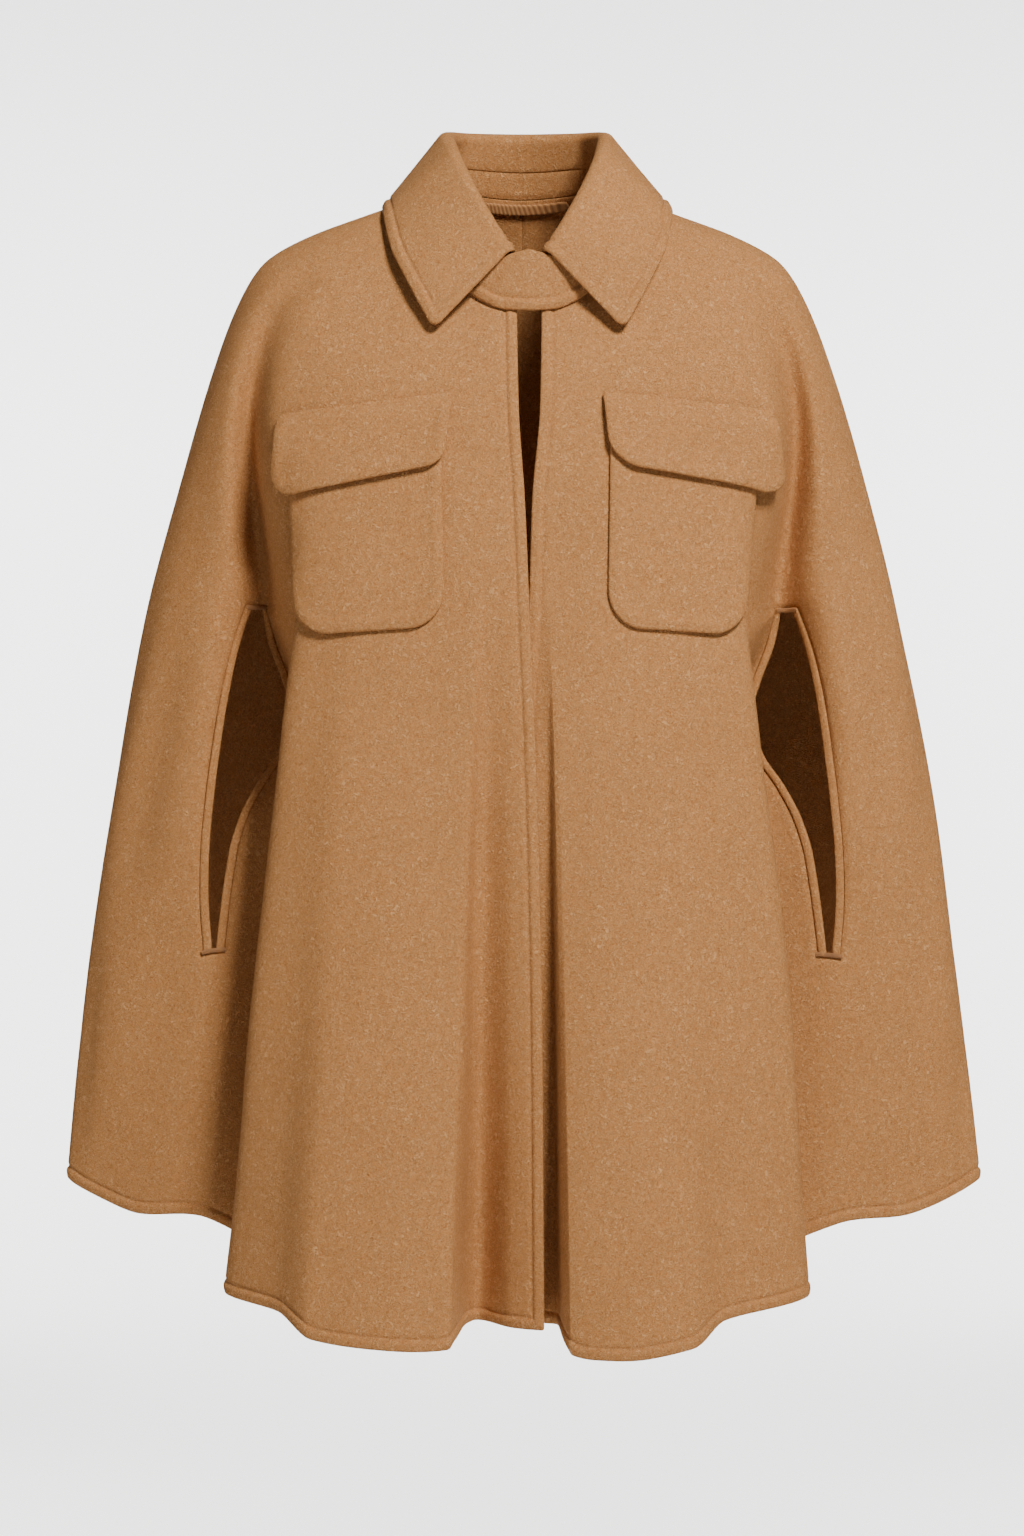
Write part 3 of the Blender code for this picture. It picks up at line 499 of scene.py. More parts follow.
def shell(name, points, normals, material, swell, thickness=CLOTH, holes=None, soft=None, under=1.0):
    """Close a sheet around a grid of outer points. Its rims are round, or nearly flat where soft is 0, and
    its under face swells by a part of what the outer face does."""
    rows, columns = points.shape[:2]
    holes = np.zeros((rows - 1, columns - 1), bool) if holes is None else holes
    soft = np.ones((rows, columns)) if soft is None else soft
    outer = points + normals * swell[..., None]
    inner = points - normals * (thickness + swell * under)[..., None]
    half = (thickness + swell * (1.0 + under)) / 2.0
    number = np.arange(rows * columns).reshape(rows, columns)
    keep = ~holes
    corners = [number[:-1, :-1][keep], number[:-1, 1:][keep], number[1:, 1:][keep], number[1:, :-1][keep]]
    quads = np.stack(corners, axis=-1)
    inner_start = rows * columns
    faces = [tuple(quad) for quad in quads] + [tuple(inner_start + i for i in quad[::-1]) for quad in quads]
    flat = points.reshape(-1, 3)
    flat_normals = normals.reshape(-1, 3)
    owner = {}
    for quad in quads.tolist():
        for start, end in zip(quad, quad[1:] + quad[:1]):
            if (end, start) in owner:
                del owner[(end, start)]
            else:
                owner[(start, end)] = quad
    outward = {}
    for (start, end), quad in owner.items():
        centre = flat[quad].mean(axis=0)
        along = unit(flat[end] - flat[start])
        away = (flat[start] + flat[end]) / 2.0 - centre
        away = away - along * away.dot(along)
        for corner in (start, end):
            outward[corner] = outward.get(corner, 0.0) + unit(away)
    extra = []
    ring_of = {}
    flat_half, flat_soft = half.ravel(), soft.ravel()
    middle = (outer + inner).reshape(-1, 3) / 2.0
    for corner, away in outward.items():
        normal = flat_normals[corner]
        away = unit(away - normal * away.dot(normal))
        ring = []
        for turn in RIM_TURNS:
            turn = math.radians(turn)
            bulge = (SEAM_ROUND + RIM_ROUND * flat_half[corner] * flat_soft[corner]) * math.sin(turn)
            extra.append(middle[corner] + normal * flat_half[corner] * math.cos(turn) + away * bulge)
            ring.append(2 * inner_start + len(extra) - 1)
        ring_of[corner] = [corner] + ring + [inner_start + corner]
    for start, end in owner:
        first, second = ring_of[start], ring_of[end]
        for place in range(len(RIM_TURNS) + 1):
            faces.append((first[place + 1], second[place + 1], second[place], first[place]))
    everything = np.concatenate([outer.reshape(-1, 3), inner.reshape(-1, 3), np.array(extra)])
    used = np.zeros(len(everything), bool)
    for face in faces:
        used[list(face)] = True
    renumber = np.cumsum(used) - 1
    faces = [tuple(renumber[list(face)]) for face in faces]
    return mesh_object(name, everything[used], faces, material), outer


def contours(values, level, holes=None):
    """Return chains of crossings, as fractional rows and columns, where a grid of values passes a level."""
    above = values > level
    count = above[:-1, :-1].astype(int) + above[:-1, 1:] + above[1:, :-1] + above[1:, 1:]
    mixed = (count > 0) & (count < 4)
    if holes is not None:
        mixed &= ~holes
    links = {}
    for row, place in np.argwhere(mixed).tolist():
        edges = (((row, place), (row, place + 1)), ((row, place + 1), (row + 1, place + 1)),
                 ((row + 1, place), (row + 1, place + 1)), ((row, place), (row + 1, place)))
        cut = [edge for edge in edges if above[edge[0]] != above[edge[1]]]
        if len(cut) == 2:
            links.setdefault(cut[0], []).append(cut[1])
            links.setdefault(cut[1], []).append(cut[0])
    chains = []
    waiting = set(links)
    starts = [edge for edge in links if len(links[edge]) == 1] + list(links)
    for start in starts:
        if start not in waiting:
            continue
        chain = [start]
        waiting.discard(start)
        while True:
            following = [edge for edge in links[chain[-1]] if edge in waiting]
            if not following:
                break
            chain.append(following[0])
            waiting.discard(following[0])
        if len(links[start]) == 2 and len(chain) > 2 and chain[-1] in links[start]:
            chain.append(start)
        crossings = []
        for low, high in chain:
            share = (level - values[low]) / (values[high] - values[low])
            crossings.append((low[0] + (high[0] - low[0]) * share, low[1] + (high[1] - low[1]) * share))
        chains.append(np.array(crossings))
    return chains


def at_fraction(grid, places):
    """Return a grid's values at fractional rows and columns."""
    row = np.clip(np.floor(places[:, 0]).astype(int), 0, grid.shape[0] - 2)
    place = np.clip(np.floor(places[:, 1]).astype(int), 0, grid.shape[1] - 2)
    down, across = (places[:, 0] - row)[:, None], (places[:, 1] - place)[:, None]
    top = grid[row, place] * (1 - across) + grid[row, place + 1] * across
    foot = grid[row + 1, place] * (1 - across) + grid[row + 1, place + 1] * across
    return top * (1 - down) + foot * down


def select_parts(parts, kind, wanted):
    """Select the edges or faces of the active object that are wanted, and stay in edit mode."""
    bpy.ops.object.mode_set(mode="EDIT")
    bpy.ops.mesh.select_all(action="DESELECT")
    bpy.ops.mesh.select_mode(type=kind)
    bpy.ops.object.mode_set(mode="OBJECT")
    for part in parts:
        part.select = wanted(part)
    bpy.ops.object.mode_set(mode="EDIT")


def stitch_mesh():
    """Return one thread's stitch, a short rounded rod along X, as points and faces."""
    bpy.ops.mesh.primitive_cylinder_add(vertices=6, radius=THREAD / 2, depth=STITCH_LENGTH,
                                        rotation=(0.0, math.pi / 2, 0.0), end_fill_type="NGON")
    rod = bpy.context.object
    bpy.ops.object.transform_apply(location=True, rotation=True, scale=True)
    select_parts(rod.data.polygons, "FACE", lambda face: len(face.vertices) > 4)
    bpy.ops.mesh.inset(thickness=THREAD * STITCH_TAPER[0], depth=THREAD * STITCH_TAPER[1])
    bpy.ops.object.mode_set(mode="OBJECT")
    points = np.array([tuple(vert.co) for vert in rod.data.vertices])
    faces = [tuple(face.vertices) for face in rod.data.polygons]
    mesh = rod.data
    bpy.data.objects.remove(rod, do_unlink=True)
    bpy.data.meshes.remove(mesh)
    points[:, 2] -= STITCH_DIVE * (2.0 * points[:, 0] / STITCH_LENGTH) ** 2
    return points, faces


STITCH = stitch_mesh()


def dress(piece, node=None):
    """Fix a piece to the body, in place of one of its solids."""
    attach(piece, "root")
    if node:
        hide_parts(node)


def sew(name, paths, pitch=STITCH_PITCH, crossing=False):
    """Lay stitches along paths of points with their directions out, or across them for a bartack."""
    points, faces = [], []
    for path, normals in paths:
        run = gaps(path[:, None], 0)[:, 0]
        count = int(run[-1] / pitch)
        if count < 1:
            continue
        middles = (np.arange(count) + 0.5) * run[-1] / count
        ends = [along_line(middles + shift, run, path)
                for shift in (-STITCH_LENGTH / 3, 0.0, STITCH_LENGTH / 3)]
        up = unit(along_line(middles, run, normals))
        along = unit(ends[2] - ends[0])
        across = unit(np.cross(up, along))
        up = np.cross(along, across)
        if crossing:
            along, across = across, -along
        for centre, x_way, y_way, z_way in zip(ends[1], along, across, up):
            start = len(points)
            local = STITCH[0]
            points.extend(centre + local[:, :1] * x_way + local[:, 1:2] * y_way + local[:, 2:] * z_way)
            faces.extend(tuple(start + i for i in face) for face in STITCH[1])
    dress(mesh_object(name, points, faces, STITCHES))


def stitch_lines(outer, normals, away, level=STITCH_IN, holes=None):
    """Return the paths on a sheet that run at a distance from its turned edges."""
    paths = []
    for places in contours(away, level, holes):
        if len(places) < 4:
            continue
        paths.append((at_fraction(outer, places), unit(at_fraction(normals, places))))
    return paths


def round_corner(grid, row_end, column_end, radius):
    """Draw in a corner of a grid of points so that its outline is an arc."""
    picture = grid[::-1] if row_end else grid
    picture = picture[:, ::-1] if column_end else picture
    work = picture.copy()
    by_column = gaps(picture, 1)
    by_row = gaps(picture, 0)
    across = unit(np.gradient(picture, axis=1))
    down = unit(np.gradient(picture, axis=0))
    u = np.clip(1.0 - by_column / radius, 0.0, 1.0)
    v = np.clip(1.0 - by_row / radius, 0.0, 1.0)
    new_u = u * np.sqrt(1.0 - v * v / 2.0)
    new_v = v * np.sqrt(1.0 - u * u / 2.0)
    work += across * ((u - new_u) * radius)[..., None] + down * ((v - new_v) * radius)[..., None]
    work = work[:, ::-1] if column_end else work
    return work[::-1] if row_end else work


def linear(hex_colour):
    """Turn an sRGB hex colour into a linear one."""
    parts = [int(hex_colour[place:place + 2], 16) / 255.0 for place in (1, 3, 5)]
    parts = [part / 12.92 if part <= 0.04045 else ((part + 0.055) / 1.055) ** 2.4 for part in parts]
    return (*parts, 1.0)


def plug(tree, node, links=None, values=None):
    """Set a node's sockets and make the links that come into it."""
    for socket, value in (values or {}).items():
        node.inputs[socket].default_value = value
    for socket, source in (links or {}).items():
        tree.links.new(source, node.inputs[socket])


def add(tree, kind, links=None, values=None, **settings):
    """Add a node with its settings, its sockets' values and the links that come into it."""
    made = tree.nodes.new(kind)
    for name, value in settings.items():
        setattr(made, name, value)
    plug(tree, made, links, values)
    return made


def shade_ramp(tree, source, stops):
    ramp = add(tree, "ShaderNodeValToRGB", {"Fac": source})
    while len(ramp.color_ramp.elements) < len(stops):
        ramp.color_ramp.elements.new(0.5)
    for element, (position, colour) in zip(ramp.color_ramp.elements, stops):
        element.position = position
        element.color = linear(colour) if isinstance(colour, str) else (colour, colour, colour, 1.0)
    return ramp.outputs["Color"]


def new_material(name):
    """Return a material, its nodes, its shader and the object's coordinates."""
    material = bpy.data.materials.new(name)
    material.use_nodes = True
    tree = material.node_tree
    return material, tree, tree.nodes["Principled BSDF"], add(tree, "ShaderNodeTexCoord").outputs["Object"]


def felted_wool(name, dark, middle, light):
    """Felted wool coating: short fibres lie pressed in every direction and curl over each other, so the face
    is matt and covered in fine pale squiggles, and it takes light softly."""
    material, tree, shader, place = new_material(name)
    # Loose strands 3 to 5 mm long: where a smooth noise passes its middle value it draws thin curling lines.
    paths = add(tree, "ShaderNodeTexNoise", {"Vector": place},
                {"Scale": 230.0, "Detail": 1.0, "Distortion": 1.5})
    off_line = add(tree, "ShaderNodeMath", {0: paths.outputs["Fac"]}, {1: 0.5}, operation="SUBTRACT")
    off_line = add(tree, "ShaderNodeMath", {0: off_line.outputs[0]}, operation="ABSOLUTE")
    strands = add(tree, "ShaderNodeMapRange", {"Value": off_line.outputs[0]},
                  {"From Min": 0.0, "From Max": 0.055, "To Min": 1.0, "To Max": 0.0})
    # They are thick in some places and worn off in others.
    worn = add(tree, "ShaderNodeTexNoise", {"Vector": place}, {"Scale": 70.0, "Detail": 2.0})
    worn = add(tree, "ShaderNodeMapRange", {"Value": worn.outputs["Fac"]},
               {"From Min": 0.35, "From Max": 0.65, "To Min": 0.40, "To Max": 0.56})
    strands = add(tree, "ShaderNodeMath", {0: strands.outputs["Result"], 1: worn.outputs["Result"]},
                  operation="MULTIPLY")
    # The pressed ground under them, its fibres about 2 mm long.
    ground = add(tree, "ShaderNodeTexNoise", {"Vector": place},
                 {"Scale": 560.0, "Detail": 2.0, "Roughness": 0.6, "Distortion": 1.8})
    # Uneven dye and handling, some 60 mm across.
    patches = add(tree, "ShaderNodeTexNoise", {"Vector": place},
                  {"Scale": 16.0, "Detail": 2.0, "Roughness": 0.5})
    ground_colour = shade_ramp(tree, ground.outputs["Fac"], ((0.30, dark), (0.62, middle)))
    patch_shade = shade_ramp(tree, patches.outputs["Fac"], ((0.35, 0.975), (0.65, 1.01)))
    tipped = add(tree, "ShaderNodeMix", {0: strands.outputs[0], 6: ground_colour}, {7: linear(light)},
                 data_type="RGBA", blend_type="MIX")
    dyed = add(tree, "ShaderNodeMix", {6: tipped.outputs[2], 7: patch_shade}, {0: 1.0},
               data_type="RGBA", blend_type="MULTIPLY", clamp_result=False)
    rough = add(tree, "ShaderNodeMapRange", {"Value": ground.outputs["Fac"]},
                {"From Min": 0.3, "From Max": 0.7, "To Min": 0.88, "To Max": 1.0})
    pressed = add(tree, "ShaderNodeBump", {"Height": ground.outputs["Fac"]},
                  {"Strength": 0.35, "Distance": 0.0008})
    felt = add(tree, "ShaderNodeBump", {"Height": strands.outputs[0], "Normal": pressed.outputs["Normal"]},
               {"Strength": 0.85, "Distance": 0.0009})
    plug(tree, shader, {"Base Color": dyed.outputs[2], "Roughness": rough.outputs["Result"],
                        "Normal": felt.outputs["Normal"]},
         {"IOR": 1.45, "Specular IOR Level": 0.06, "Sheen Weight": 0.08, "Sheen Roughness": 0.45,
          "Sheen Tint": linear("#D8AC7C")})
    return material


def ribbed(name, colours, ribs, relief, roughness, sheen=0.0):
    """Return a material with slanting ribs in two shades; ribs and relief name their settings in order."""
    material, tree, shader, place = new_material(name)
    wave = add(tree, "ShaderNodeTexWave", {"Vector": place},
               dict(zip(("Scale", "Distortion", "Detail"), ribs)),
               wave_type="BANDS", bands_direction="DIAGONAL")
    tone = shade_ramp(tree, wave.outputs["Fac"], tuple(zip((0.2, 0.8), colours)))
    raised = add(tree, "ShaderNodeBump", {"Height": wave.outputs["Fac"]},
                 dict(zip(("Strength", "Distance"), relief)))
    plug(tree, shader, {"Base Color": tone, "Normal": raised.outputs["Normal"]},
         {"Roughness": roughness, "Sheen Weight": sheen})
    return material


def painted_sweep(name, colour):
    """Matt emulsion on a studio sweep: even, with a very faint roller texture."""
    material, tree, shader, place = new_material(name)
    roller = add(tree, "ShaderNodeTexNoise", {"Vector": place}, {"Scale": 40.0, "Detail": 2.0})
    grain = add(tree, "ShaderNodeBump", {"Height": roller.outputs["Fac"]},
                {"Strength": 0.05, "Distance": 0.001})
    plug(tree, shader, {"Normal": grain.outputs["Normal"]}, {"Base Color": linear(colour), "Roughness": 0.9})
    return material


WOOL = felted_wool("felted_wool_camel", "#935F33", "#BE8855", "#E2B17D")
# Cotton twill tape: close diagonal ribs, drawn nearly 3 mm apart, wider than real, so that they show.
TAPE = ribbed("twill_tape_camel", ("#94643A", "#B58250"), (160.0, 0.6, 2.0), (0.5, 0.0004), 0.85)
# Spun polyester sewing thread: two plies twisted together give it slanting ridges and a low sheen.
STITCHES = ribbed("polyester_thread_camel", ("#8A5A30", "#B07C48"), (900.0, 1.0, 1.0), (0.4, 0.0002),
                  0.62, 0.15)


def panel_levels():
    """Return the levels of the rows, closer together at the neck, the slit's ends and the hem."""
    near_end = sorted({sign * step for step in SLIT_END_ROWS for sign in (-1.0, 1.0)})
    levels = list(NECK_ROWS)
    for first, last in ROW_RUNS:
        levels += list(np.arange(first, last, ROW_STEP))
    for end in (SLIT_TOP, SLIT_FOOT):
        levels += [end + step for step in near_end]
    levels += [1.0 - step / PANEL_LENGTH for step in EDGE_STEPS]
    return np.array(sorted(levels))


LEVELS = panel_levels()


def degrees_per_metre(side, angle, level):
    chord = np.linalg.norm(body_point(side, angle + CHORD, level) - body_point(side, angle, level), axis=-1)
    return CHORD / chord


def spread(first, last, count):
    """Return evenly spaced columns between two columns, without the ends."""
    return [first + (last - first) * (index + 1) / (count + 1) for index in range(count)]


def front_columns(side):
    """Return the angle of every grid point of a front, row by row, and the columns of the slit."""
    distance = column(EDGE_COLUMNS, FRONT_EDGES, side, LEVELS)
    edge = np.degrees(np.arcsin(distance / column(SECTION_COLUMNS, SECTIONS, "side_x", LEVELS)))
    slit_front, slit_back = slit_angle(-1, LEVELS), slit_angle(1, LEVELS)
    per_edge = degrees_per_metre(side, edge, LEVELS)
    per_front = degrees_per_metre(side, slit_front - BESIDE_EDGE, LEVELS)
    per_back = degrees_per_metre(side, slit_back + BEHIND_SLIT, LEVELS)
    per_side = degrees_per_metre(side, SIDE_SEAM - BESIDE_EDGE, LEVELS)
    lines = [edge + per_edge * step for step in EDGE_STEPS]
    before = [slit_front - per_front * step for step in EDGE_STEPS[::-1]]
    wall_end = np.maximum(lines[-1] + WALL_LEAST, slit_front * WALL_SHARE[side])
    wall = spread(lines[-1], wall_end, WALL_COLUMNS)
    lines += wall + spread(wall[-1], before[0], FRONT_COLUMNS) + before
    first_slit = len(lines) - 1
    lines += spread(slit_front, slit_back, SLIT_COLUMNS)
    last_slit = len(lines)
    after = [slit_back + per_back * step for step in EDGE_STEPS]
    seam = [SIDE_SEAM - per_side * step for step in SEAM_STEPS[::-1]]
    lines += after + spread(after[-1], seam[0], SIDE_COLUMNS) + seam
    return np.stack(lines, axis=1), first_slit, last_slit


def inset_ends(points, first, last):
    """Draw in the two ends of every row by a small amount."""
    points = points.copy()
    points[:, 0] += unit(points[:, 1] - points[:, 0]) * first
    points[:, -1] += unit(points[:, -2] - points[:, -1]) * last
    return points


def close_panel(name, points, normals, hem_away, seam_away, soft, holes=None):
    """Close a front or a back and topstitch it, by its points' distances to turned edges and to seams."""
    swell = turned_edge(hem_away) + pressed_seam(seam_away)
    panel, outer = shell("cloth_" + name, points, normals, WOOL, swell,
                         holes=holes, soft=soft, under=PANEL_UNDER)
    dress(panel, name)
    sew("stitches_" + name, stitch_lines(outer, normals, hem_away, holes=holes))


def make_front(side):
    angles, first_slit, last_slit = front_columns(side)
    levels = turned_level(angles, LEVELS[:, None] + 0.0 * angles)
    points, normals = cloth(side, angles, levels)
    points = inset_ends(points, FRONT_INSET, SEAM_TOUCH)
    middle_levels = (LEVELS[1:] + LEVELS[:-1]) / 2
    in_slit = (middle_levels > SLIT_TOP) & (middle_levels < SLIT_FOOT)
    holes = np.zeros((len(LEVELS) - 1, angles.shape[1] - 1), bool)
    holes[np.ix_(in_slit, range(first_slit, last_slit))] = True
    slit_rows = np.nonzero((LEVELS > SLIT_TOP - 1e-6) & (LEVELS < SLIT_FOOT + 1e-6))[0]
    top, foot = slit_rows[0], slit_rows[-1]
    slit_lines = [points[top:foot + 1, first_slit], points[top:foot + 1, last_slit],
                  points[top, first_slit:last_slit + 1], points[foot, first_slit:last_slit + 1]]
    hem_away = distance_to(points, [points[:, 0], points[-1]])
    slit_away = distance_to(points, slit_lines)
    seam_away = distance_to(points, [points[:, -1], points[0]])
    soft = np.ones(points.shape[:2])
    soft[:, -1] = 0.0
    soft[0] = 0.0
    soft[top:foot + 1, first_slit:last_slit + 1] = 0.0
    close_panel("front_" + side, points, normals, hem_away, np.minimum(seam_away, slit_away), soft,
                holes)


def make_back(side):
    per_side = degrees_per_metre(side, SIDE_SEAM + BESIDE_EDGE, LEVELS)
    per_back = degrees_per_metre(side, CENTRE_BACK - BESIDE_EDGE, LEVELS)
    seam = [SIDE_SEAM + per_side * step for step in SEAM_STEPS]
    centre = [CENTRE_BACK - per_back * step for step in SEAM_STEPS[::-1]]
    angles = np.stack(seam + spread(seam[-1], centre[0], BACK_COLUMNS) + centre, axis=1)
    points, normals = cloth(side, angles, LEVELS[:, None] + 0.0 * angles)
    points = inset_ends(points, SEAM_TOUCH, SEAM_TOUCH)
    hem_away = distance_to(points, [points[-1]])
    seam_away = distance_to(points, [points[:, -1], points[0], points[:, 0]])
    soft = np.zeros(points.shape[:2])
    soft[-1] = 1.0
    close_panel("back_" + side, points, normals, hem_away, seam_away, soft)


for side in SIDES:
    make_front(side)
    make_back(side)


def make_welts(side):
    """Bind each edge of a slit with a soft rounded strip."""
    levels = np.linspace(SLIT_TOP, SLIT_FOOT, WELT_RINGS)
    turns = math.tau * (np.arange(WELT_SIDES) + 0.5) / WELT_SIDES
    wide, thick = (np.sign(wave) * np.abs(wave) ** WELT_SQUARE * size / 2
                   for wave, size in ((np.cos(turns), WELT_WIDTH), (np.sin(turns), WELT_THICK)))
    opened = np.sin(math.pi * (levels - SLIT_TOP) / (SLIT_FOOT - SLIT_TOP))[:, None]
    for edge_name, edge in (("front", -1), ("back", 1)):
        angles = (slit_angle(edge, levels), slit_angle(edge, levels) + edge * BESIDE_EDGE,
                  slit_angle(-edge, levels))
        (seam, normal), (inside, _), (opposite, _) = (
            cloth(side, angle, turned_level(angle, levels)) for angle in angles)
        across = unit(opposite - seam) * (1.0 - opened) + unit(seam - inside) * opened
        across = unit(across - normal * dot(across, normal))
        centre = seam + across * (2 * SEAM_GAP + WELT_WIDTH / 2) - normal * CLOTH / 2
        rings = list(centre[:, None] + across[:, None] * wide[None, :, None]
                     + normal[:, None] * thick[None, :, None])
        first_way, last_way = unit(centre[1] - centre[0]), unit(centre[-1] - centre[-2])
        first_cap = [centre[0] + (rings[0] - centre[0]) * share + first_way * 2 * SEAM_GAP
                     for share in WELT_CAP]
        last_cap = [centre[-1] + (rings[-1] - centre[-1]) * share - last_way * 2 * SEAM_GAP
                    for share in WELT_CAP[::-1]]
        rings[0] = rings[0] + first_way * 4 * SEAM_GAP
        rings[-1] = rings[-1] - last_way * 4 * SEAM_GAP
        stack = first_cap + rings + last_cap
        last_start = (len(stack) - 1) * WELT_SIDES
        faces = [tuple(range(WELT_SIDES)), tuple(last_start + place for place in range(WELT_SIDES))]
        for start in range(0, last_start, WELT_SIDES):
            for place in range(WELT_SIDES):
                following = (place + 1) % WELT_SIDES
                faces.append((start + place, start + following,
                              start + WELT_SIDES + following, start + WELT_SIDES + place))
        welt = mesh_object("binding_" + edge_name + "_" + side, np.concatenate(stack), faces, WOOL)
        dress(welt, "welt_" + edge_name + "_" + side)


def make_bartacks(side):
    """Close each end of a slit with a bar of dense stitches across its two bindings."""
    paths = []
    for level in BARTACK_LEVELS:
        middle = slit_angle(0, level)
        angles = np.linspace(middle - BARTACK_HALF, middle + BARTACK_HALF, BARTACK_POINTS)
        paths.append(cloth(side, angles, turned_level(angles, np.full(angles.shape, level)), BARTACK_HEIGHT))
    sew("bartacks_" + side, paths, BARTACK_PITCH, crossing=True)


for side in SIDES:
    make_welts(side)
    make_bartacks(side)


def surface_place(side, out, height):
    """Return the angles and levels of the cloth's points at distances outward and heights."""
    angle, level = (np.full(out.shape, start) for start in SEARCH_START)
    turn_step, fall_step = SEARCH_PROBE
    for _ in range(SEARCH_ROUNDS):
        here = body_point(side, angle, level)
        by_angle = (body_point(side, angle + turn_step, level) - here) / turn_step
        by_level = (body_point(side, angle, level + fall_step) - here) / fall_step
        miss_x = out - here[..., 0] * SIDES[side]
        miss_z = height - here[..., 2]
        out_angle, out_level = by_angle[..., 0] * SIDES[side], by_level[..., 0] * SIDES[side]
        size = out_angle * by_level[..., 2] - out_level * by_angle[..., 2]
        turn = (miss_x * by_level[..., 2] - miss_z * out_level) / size
        fall = (out_angle * miss_z - by_angle[..., 2] * miss_x) / size
        angle = angle + np.clip(turn, -SEARCH_MOST[0], SEARCH_MOST[0])
        level = level + np.clip(fall, -SEARCH_MOST[1], SEARCH_MOST[1])
    return angle, level


def pocket_height(across, fall, down):
    return LAP_GAP + CLOTH + PATCH_LIFT * ease(PATCH_LIFT_START, 1.0, across)


def flap_height(across, fall, down):
    rise = (CLOTH + LAP_GAP) * ease(0.0, FLAP_RISE, fall)
    return pocket_height(across, fall, down) + rise + FLAP_LIFT * down * down


def edge_shares(width):
    """Return shares across a patch, close together beside its two turned edges."""
    near = [step / width for step in EDGE_STEPS]
    inner = list(np.linspace(near[-1], 1.0 - near[-1], int(width * (1 - 2 * near[-1]) / PATCH_CELL)))[1:-1]
    return np.array(near + inner + [1.0 - share for share in near[::-1]])


def make_patch(name, node, side, corners, height_at):
    """Lay a pocket or a flap on a front: flat by its corners, then round at them, then on the cloth."""
    patch = {key: np.array(value) if "radius" not in key else value
             for key, value in zip(PATCH_COLUMNS, corners)}
    width = np.linalg.norm(patch["outer_top"] - patch["inner_top"])
    height = np.linalg.norm(patch["outer_top"] - patch["outer_foot"])
    across, down = np.meshgrid(edge_shares(width), edge_shares(height))
    flat_grid = np.stack([across * width, -down * height, 0.0 * across], axis=-1)
    for row_end, column_end, radius in ((0, 0, "top_radius"), (0, 1, "top_radius"),
                                        (1, 0, "inner_radius"), (1, 1, "outer_radius")):
        flat_grid = round_corner(flat_grid, row_end, column_end, patch[radius])
    across, down = flat_grid[..., 0:1] / width, -flat_grid[..., 1:2] / height
    top = patch["inner_top"] * (1 - across) + patch["outer_top"] * across
    foot = patch["inner_foot"] * (1 - across) + patch["outer_foot"] * across
    place = top * (1 - down) + foot * down
    fall = np.linalg.norm(top - foot, axis=-1) * down[..., 0]
    angle, level = surface_place(side, place[..., 0], place[..., 1])
    lift = height_at(across[..., 0], fall, down[..., 0])
    points, normals = cloth(side, angle, level, lift)
    away = distance_to(points, [points[0], points[-1], points[:, 0], points[:, -1]])
    piece, _ = shell(name, points, normals, WOOL, soft_edge(away), under=PATCH_UNDER)
    dress(piece, node)


for side in SIDES:
    make_patch("cloth_pocket_" + side, "pocket_" + side, side, POCKETS[side], pocket_height)
    make_patch("cloth_flap_" + side, "flap_" + side, side, FLAPS[side], flap_height)


def collar_point(angle, which):
    """Return the roll line's or leaf edge's points at signed angles, or the neck seam's."""
    side = np.sign(angle)
    near_front = 1.0 - ease(*SHIFT_FADE, np.abs(angle))
    if which == "base":
        turned = np.abs(angle) + side * COLLAR_TURN * near_front
        both = {name: body_point(name, turned, np.zeros_like(turned)) for name in SIDES}
        point = np.where((side > 0)[:, None], both["left"], both["right"])
        return point + np.array([0.0, 0.0, 2 * SEAM_GAP])
    point = np.stack([column(COLLAR_COLUMNS, COLLAR, which + axis, np.abs(angle))
                      for axis in ("_x", "_y", "_z")], axis=-1)
    point[:, 0] = side * point[:, 0] + COLLAR_SHIFT * near_front
    return point


def grid_normals(points):
    """Return the directions across a grid of points."""
    return unit(np.cross(np.gradient(points, axis=0), np.gradient(points, axis=1)))


def middle_shell(name, points, material, swell, thickness=CLOTH):
    """Close a sheet whose middle is a grid of points."""
    normals = grid_normals(points)
    return shell(name, points + normals * thickness / 2, normals, material, swell, thickness), normals


